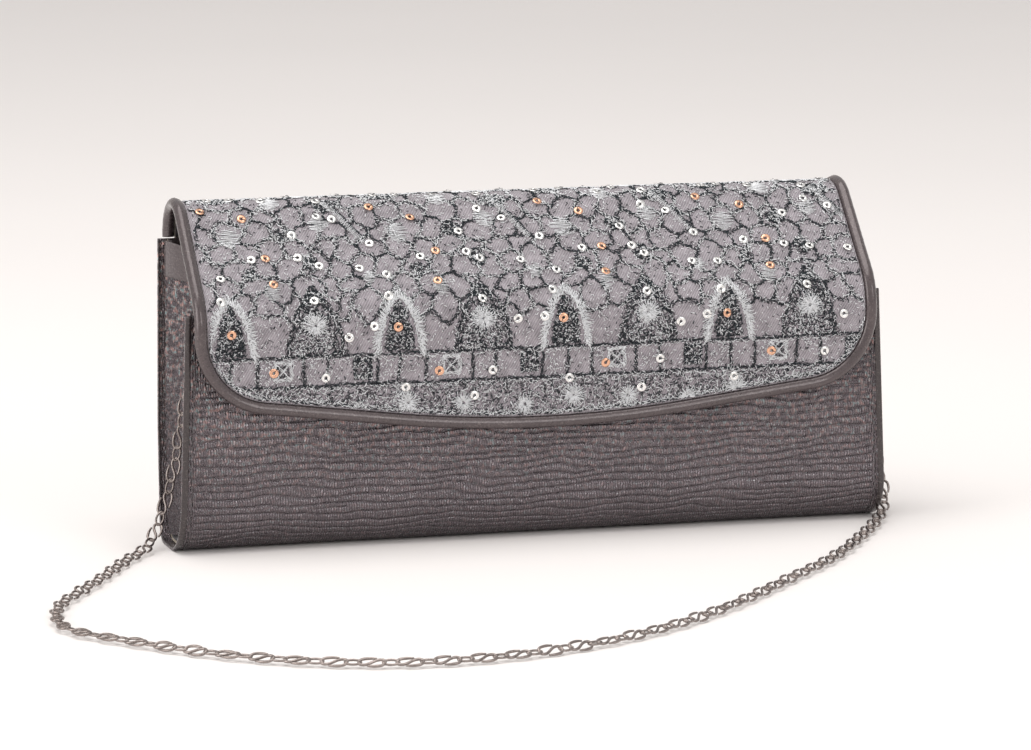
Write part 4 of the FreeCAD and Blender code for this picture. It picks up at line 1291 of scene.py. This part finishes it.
class SequinMaker(bpy.types.Operator):
    """Sew the ring sequins on the lace"""
    bl_idname = "clutch.sequins"
    bl_label = "Sequins"

    def execute(self, context):
        sizes = context.scene.clutch_flap
        rng = np.random.default_rng(23)
        outer, inner = sizes.sequin / MM / 2, sizes.sequin_hole / MM / 2
        rings = [(outer, 0.0), (outer * 0.97, 0.10), (outer * 0.62, 0.20), (inner, 0.10), (inner, 0.0)]
        around = np.linspace(0, math.tau, 20, endpoint=False)
        lots = (Lot(), Lot())
        ties = Lot()
        places = sequin_places(rng, sizes.repeat / MM)
        for repeat in range(-3, 4):
            for across, up, copper in places:
                x = ARCH_MIDDLE + repeat * sizes.repeat / MM + across + rng.normal(0, 1.0)
                t = up + rng.normal(0, 1.0)
                tilt = rng.normal(0, 0.09, 2)
                spin = rng.uniform(0, math.tau)
                foot = cover_foot(x) - LACE_FOOT
                if abs(x) > COVER_HALF - 2.6 or t < foot + 2.6 or t > LACE_ZERO - 4:
                    continue
                middle = on_flap(x, t, 0.02)
                upward = unit(on_flap(x, t + 1, 0.02) - middle)
                outward = np.cross([1.0, 0, 0], upward)
                outward = unit(outward + tilt[0] * np.array([1.0, 0, 0]) + tilt[1] * upward)
                first = unit(np.cross(upward, outward))
                second = np.cross(outward, first)
                verts = [middle + r * np.cos(a) * first + r * np.sin(a) * second + h * outward
                         for r, h in rings for a in around]
                faces = grid_faces(len(rings), len(around), wrap=True).tolist()
                last = (len(rings) - 1) * len(around)
                faces += [(last + k, last + (k + 1) % 20, (k + 1) % 20, k) for k in range(20)]
                lots[copper].add(verts, faces)
                reach = outer * 0.8
                aside = (first * math.cos(spin) + second * math.sin(spin)) * reach
                ends = [middle + outward * 0.05, middle + outward * 0.34 + aside * 0.55,
                        middle + outward * 0.16 + aside * 1.3]
                ties.tube(ends, 0.1, 5)
        for lot, word in zip(lots, ("silver", "copper")):
            show(lot.mesh(f"sequins_{word}"), f"sequins_{word}", material(f"sequin_{word}"), "flap")
        show(ties.mesh("sequin_ties"), "sequin_ties", material("dark_thread"), "flap")
        return {"FINISHED"}


class PipingMaker(bpy.types.Operator):
    """Make the corded piping round the flap"""
    bl_idname = "clutch.piping"
    bl_label = "Piping"

    def execute(self, context):
        front = edge_points(PIPING_RADIUS)
        front = front[front[:, 1] < CORNER_HEAD]
        side_x = FLAP_SIDE - PIPING_RADIUS
        turn = float(np.interp(-80.9, -FLAP.points[-600:, 1], FLAP.along[-600:]))
        run = np.arange(0.2, turn, 0.6)
        depth, rise = FLAP.at(run, 1.3)
        leg = np.stack([-side_x + 0 * depth, depth - CENTRE, rise], 1)
        lower = np.stack([front[:, 0], -3.0 - CENTRE + 0 * front[:, 0], front[:, 1]], 1)
        right = leg[::-1] * [-1, 1, 1]
        line = evenly(np.concatenate([leg, lower, right]), 0.7)
        count = len(line)
        places = np.arange(count) * 0.7
        heading = unit(np.gradient(line, axis=0))
        sides = 20
        angles = np.arange(sides) * math.tau / sides
        inward = np.stack([-np.sign(line[:, 0]) * smooth_step(np.abs(line[:, 0]), 60, 128), 0 * places,
                           1 - smooth_step(np.abs(line[:, 0]), 60, 128)], 1)
        inward = unit(inward - heading * np.sum(inward * heading, 1)[:, None])
        other = np.cross(heading, inward)
        radius = PIPING_RADIUS - 0.04 + 0.05 * ripple(places, 0 * places, 22, 91)
        pucker = 0.05 * ripple(places, 0 * places, 4.5, 92)
        verts = []
        for k in range(count):
            ring = radius[k] * (1 + pucker[k] * 0.5 * np.cos(angles))
            seam = 0.30 * np.exp(-((angles - math.pi * 0.36) / 0.18) ** 2)
            ring = ring - seam
            verts.append(line[k] + np.outer(ring * np.cos(angles), inward[k])
                         + np.outer(ring * np.sin(angles), other[k]))
        faces = grid_faces(count, sides, wrap=True).tolist()
        faces += [tuple(range(sides))[::-1], tuple((count - 1) * sides + k for k in range(sides))]
        mesh = mesh_of("piping_cord", np.concatenate(verts), faces)
        piece = show(mesh, "piping_cord", material("piping_leatherette"), "flap")
        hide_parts("flap_piping")
        return {"FINISHED"}


class FoldMaker(bpy.types.Operator):
    """Make the leatherette fold that hinges the flap on the back"""
    bl_idname = "clutch.fold"
    bl_label = "Flap fold"

    def execute(self, context):
        rise = np.concatenate([np.arange(102.0, 108.0, 0.8), np.arange(108.0, 114.0, 0.25),
                               np.arange(114.0, 119.6, 0.8)])
        across = np.linspace(-126.0, 126.0, 140)
        z, x = np.meshgrid(rise, across, indexing="ij")
        lean = np.where(z < BACK_TOP, 52 - (BACK_TOP - z) * 8 / 67.5, 52.0)
        end = np.minimum(z - rise[0], rise[-1] - z)
        proud = 0.72 - 0.45 * np.maximum(0, 1 - end / 0.9) ** 2 + 0.06 * ripple(x, z, 20, 95)
        grid = np.stack([x, lean + proud - CENTRE, z], -1)
        mesh = sheet_mesh("fold_strip", grid, np.stack([x, z], -1), 0.6)
        piece = show(mesh, "fold_strip", material("band_leatherette"), None)
        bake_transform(piece)
        for word, level, body in (("low", 104.0, "bag_body"), ("high", 117.6, "flap")):
            seam = Lot()
            lean = 52 - (BACK_TOP - level) * 8 / 67.5 if level < BACK_TOP else 52.0
            for start in np.arange(-124.5, 122.5, 3.0):
                places = np.linspace(start, start + 2.2, 5)
                out = lean + 0.72 + 0.12 * np.sin(np.linspace(0, math.pi, 5)) - CENTRE
                seam.tube(np.stack([places, out, level + 0 * places], 1), 0.2, 6)
            show(seam.mesh(f"fold_stitches_{word}"), f"fold_stitches_{word}", material("seam_thread"), body)
        return {"FINISHED"}


class HardwareMaker(bpy.types.Operator):
    """Finish the metal parts and the boards that keep their shape"""
    bl_idname = "clutch.hardware"
    bl_label = "Metal and boards"

    def execute(self, context):
        finishes = {"nickel": ("snap_socket", "socket_washer", "snap_stud", "stud_washer", "ring_left",
                               "ring_right"),
                    "chain_metal": ("end_link_left", "end_link_right"),
                    "board": ("front_board", "base_board", "back_board", "flap_board")}
        for finish_name, names in finishes.items():
            for name in names:
                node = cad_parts[name]
                node.data.materials.clear()
                node.data.materials.append(material(finish_name))
        return {"FINISHED"}


# ------------------------------------------------------------------ stage
# Metres. The wall stands far enough back for a view of the open bag from behind.
FLOOR_REACH = 6.5
SWEEP_ROUND = 1.5
WALL_TOP = 4.0
AZIMUTH, ELEVATION = 16.24, 8.95


class StageMaker(bpy.types.Operator):
    """Make the floor, the lights and the camera"""
    bl_idname = "clutch.stage"
    bl_label = "Stage"

    def execute(self, context):
        scene = context.scene
        sizes = scene.clutch_stage
        corners = [(-FLOOR_REACH, 0, 0), (FLOOR_REACH, 0, SWEEP_ROUND), (FLOOR_REACH, WALL_TOP, 0)]
        path = evenly(rounded(corners, 0.05), 0.12)
        across = np.linspace(-FLOOR_REACH, FLOOR_REACH, 80)
        y, x = np.meshgrid(path[:, 0], across, indexing="ij")
        z, _ = np.meshgrid(path[:, 1], across, indexing="ij")
        grid = np.stack([x, y, z], -1) / MM
        floor = show(mesh_of("floor", grid.reshape(-1, 3), grid_faces(*grid.shape[:2])), "floor",
                     material("stage_cloth"))
        world = bpy.data.worlds.new("room")
        world.use_nodes = True
        world.node_tree.nodes["Background"].inputs[0].default_value = (1.0, 0.985, 0.975, 1.0)
        world.node_tree.nodes["Background"].inputs[1].default_value = sizes.world
        scene.world = world
        lights = (("overhead", (-0.3, -0.1, 1.9), (0.0, 0.02, 0.05), 1.6, sizes.key_power),
                  ("left", (-1.9, -0.5, 0.7), (0.0, 0.0, 0.06), 1.2, sizes.side_power),
                  ("front", (0.9, -2.2, 1.2), (0.0, 0.0, 0.06), 1.0, sizes.side_power * 0.8))
        for name, place, target, size, power in lights:
            lamp = bpy.data.lights.new(name, "AREA")
            lamp.size = size
            lamp.energy = power
            lamp.color = (1.0, 0.98, 0.96)
            holder = bpy.data.objects.new(name, lamp)
            holder.location = place
            aim(holder, np.array(target) - np.array(place))
            scene.collection.objects.link(holder)
        camera = bpy.data.cameras.new("camera")
        camera.sensor_width = 36.0
        camera.lens = 174.6
        camera.clip_end = 30.0
        holder = bpy.data.objects.new("camera", camera)
        holder.location = (-0.5192, -1.7739, 0.3489)
        azimuth, elevation = math.radians(AZIMUTH), math.radians(ELEVATION)
        aim(holder, [math.sin(azimuth) * math.cos(elevation), math.cos(azimuth) * math.cos(elevation),
                     -math.sin(elevation)])
        scene.collection.objects.link(holder)
        scene.camera = holder
        scene.view_settings.view_transform = "Standard"
        return {"FINISHED"}


def aim(holder, direction):
    """Turns a light or a camera to look along a direction."""
    holder.rotation_euler = Vector([float(v) for v in direction]).to_track_quat("-Z", "Y").to_euler()


# ------------------------------------------------------------------ panel and run
MAKERS = (StageMaker, ChainMaker, SkinMaker, EdgeMaker, GussetMaker, LiningMaker, PocketMaker, TabMaker,
          CoverMaker, LaceMaker, SequinMaker, PipingMaker, FoldMaker, HardwareMaker)
GROUPS = {"clutch_body": ClutchBodySizes, "clutch_flap": ClutchFlapSizes, "clutch_chain": ClutchChainSizes,
          "clutch_colours": ClutchColours, "clutch_stage": ClutchStageSizes}


class VIEW3D_PT_clutch(bpy.types.Panel):
    """The clutch's sizes, colours and makers"""
    bl_label = "Evening clutch"
    bl_idname = "VIEW3D_PT_clutch"
    bl_space_type = "VIEW_3D"
    bl_region_type = "UI"
    bl_category = "Clutch"

    def draw(self, context):
        for word, sizes in GROUPS.items():
            box = self.layout.box()
            for name in sizes.__annotations__:
                box.prop(getattr(context.scene, word), name)
        for maker in MAKERS:
            self.layout.operator(maker.bl_idname)


def register():
    for item in (*GROUPS.values(), *MAKERS, VIEW3D_PT_clutch):
        bpy.utils.register_class(item)
    for word, sizes in GROUPS.items():
        setattr(bpy.types.Scene, word, bpy.props.PointerProperty(type=sizes))


def unregister():
    for word in GROUPS:
        delattr(bpy.types.Scene, word)
    for item in reversed((*GROUPS.values(), *MAKERS, VIEW3D_PT_clutch)):
        bpy.utils.unregister_class(item)


def main():
    """Makes every piece."""
    register()
    for maker in MAKERS:
        group_name, name = maker.bl_idname.split(".")
        getattr(getattr(bpy.ops, group_name), name)()


if __name__ == "__main__":
    main()
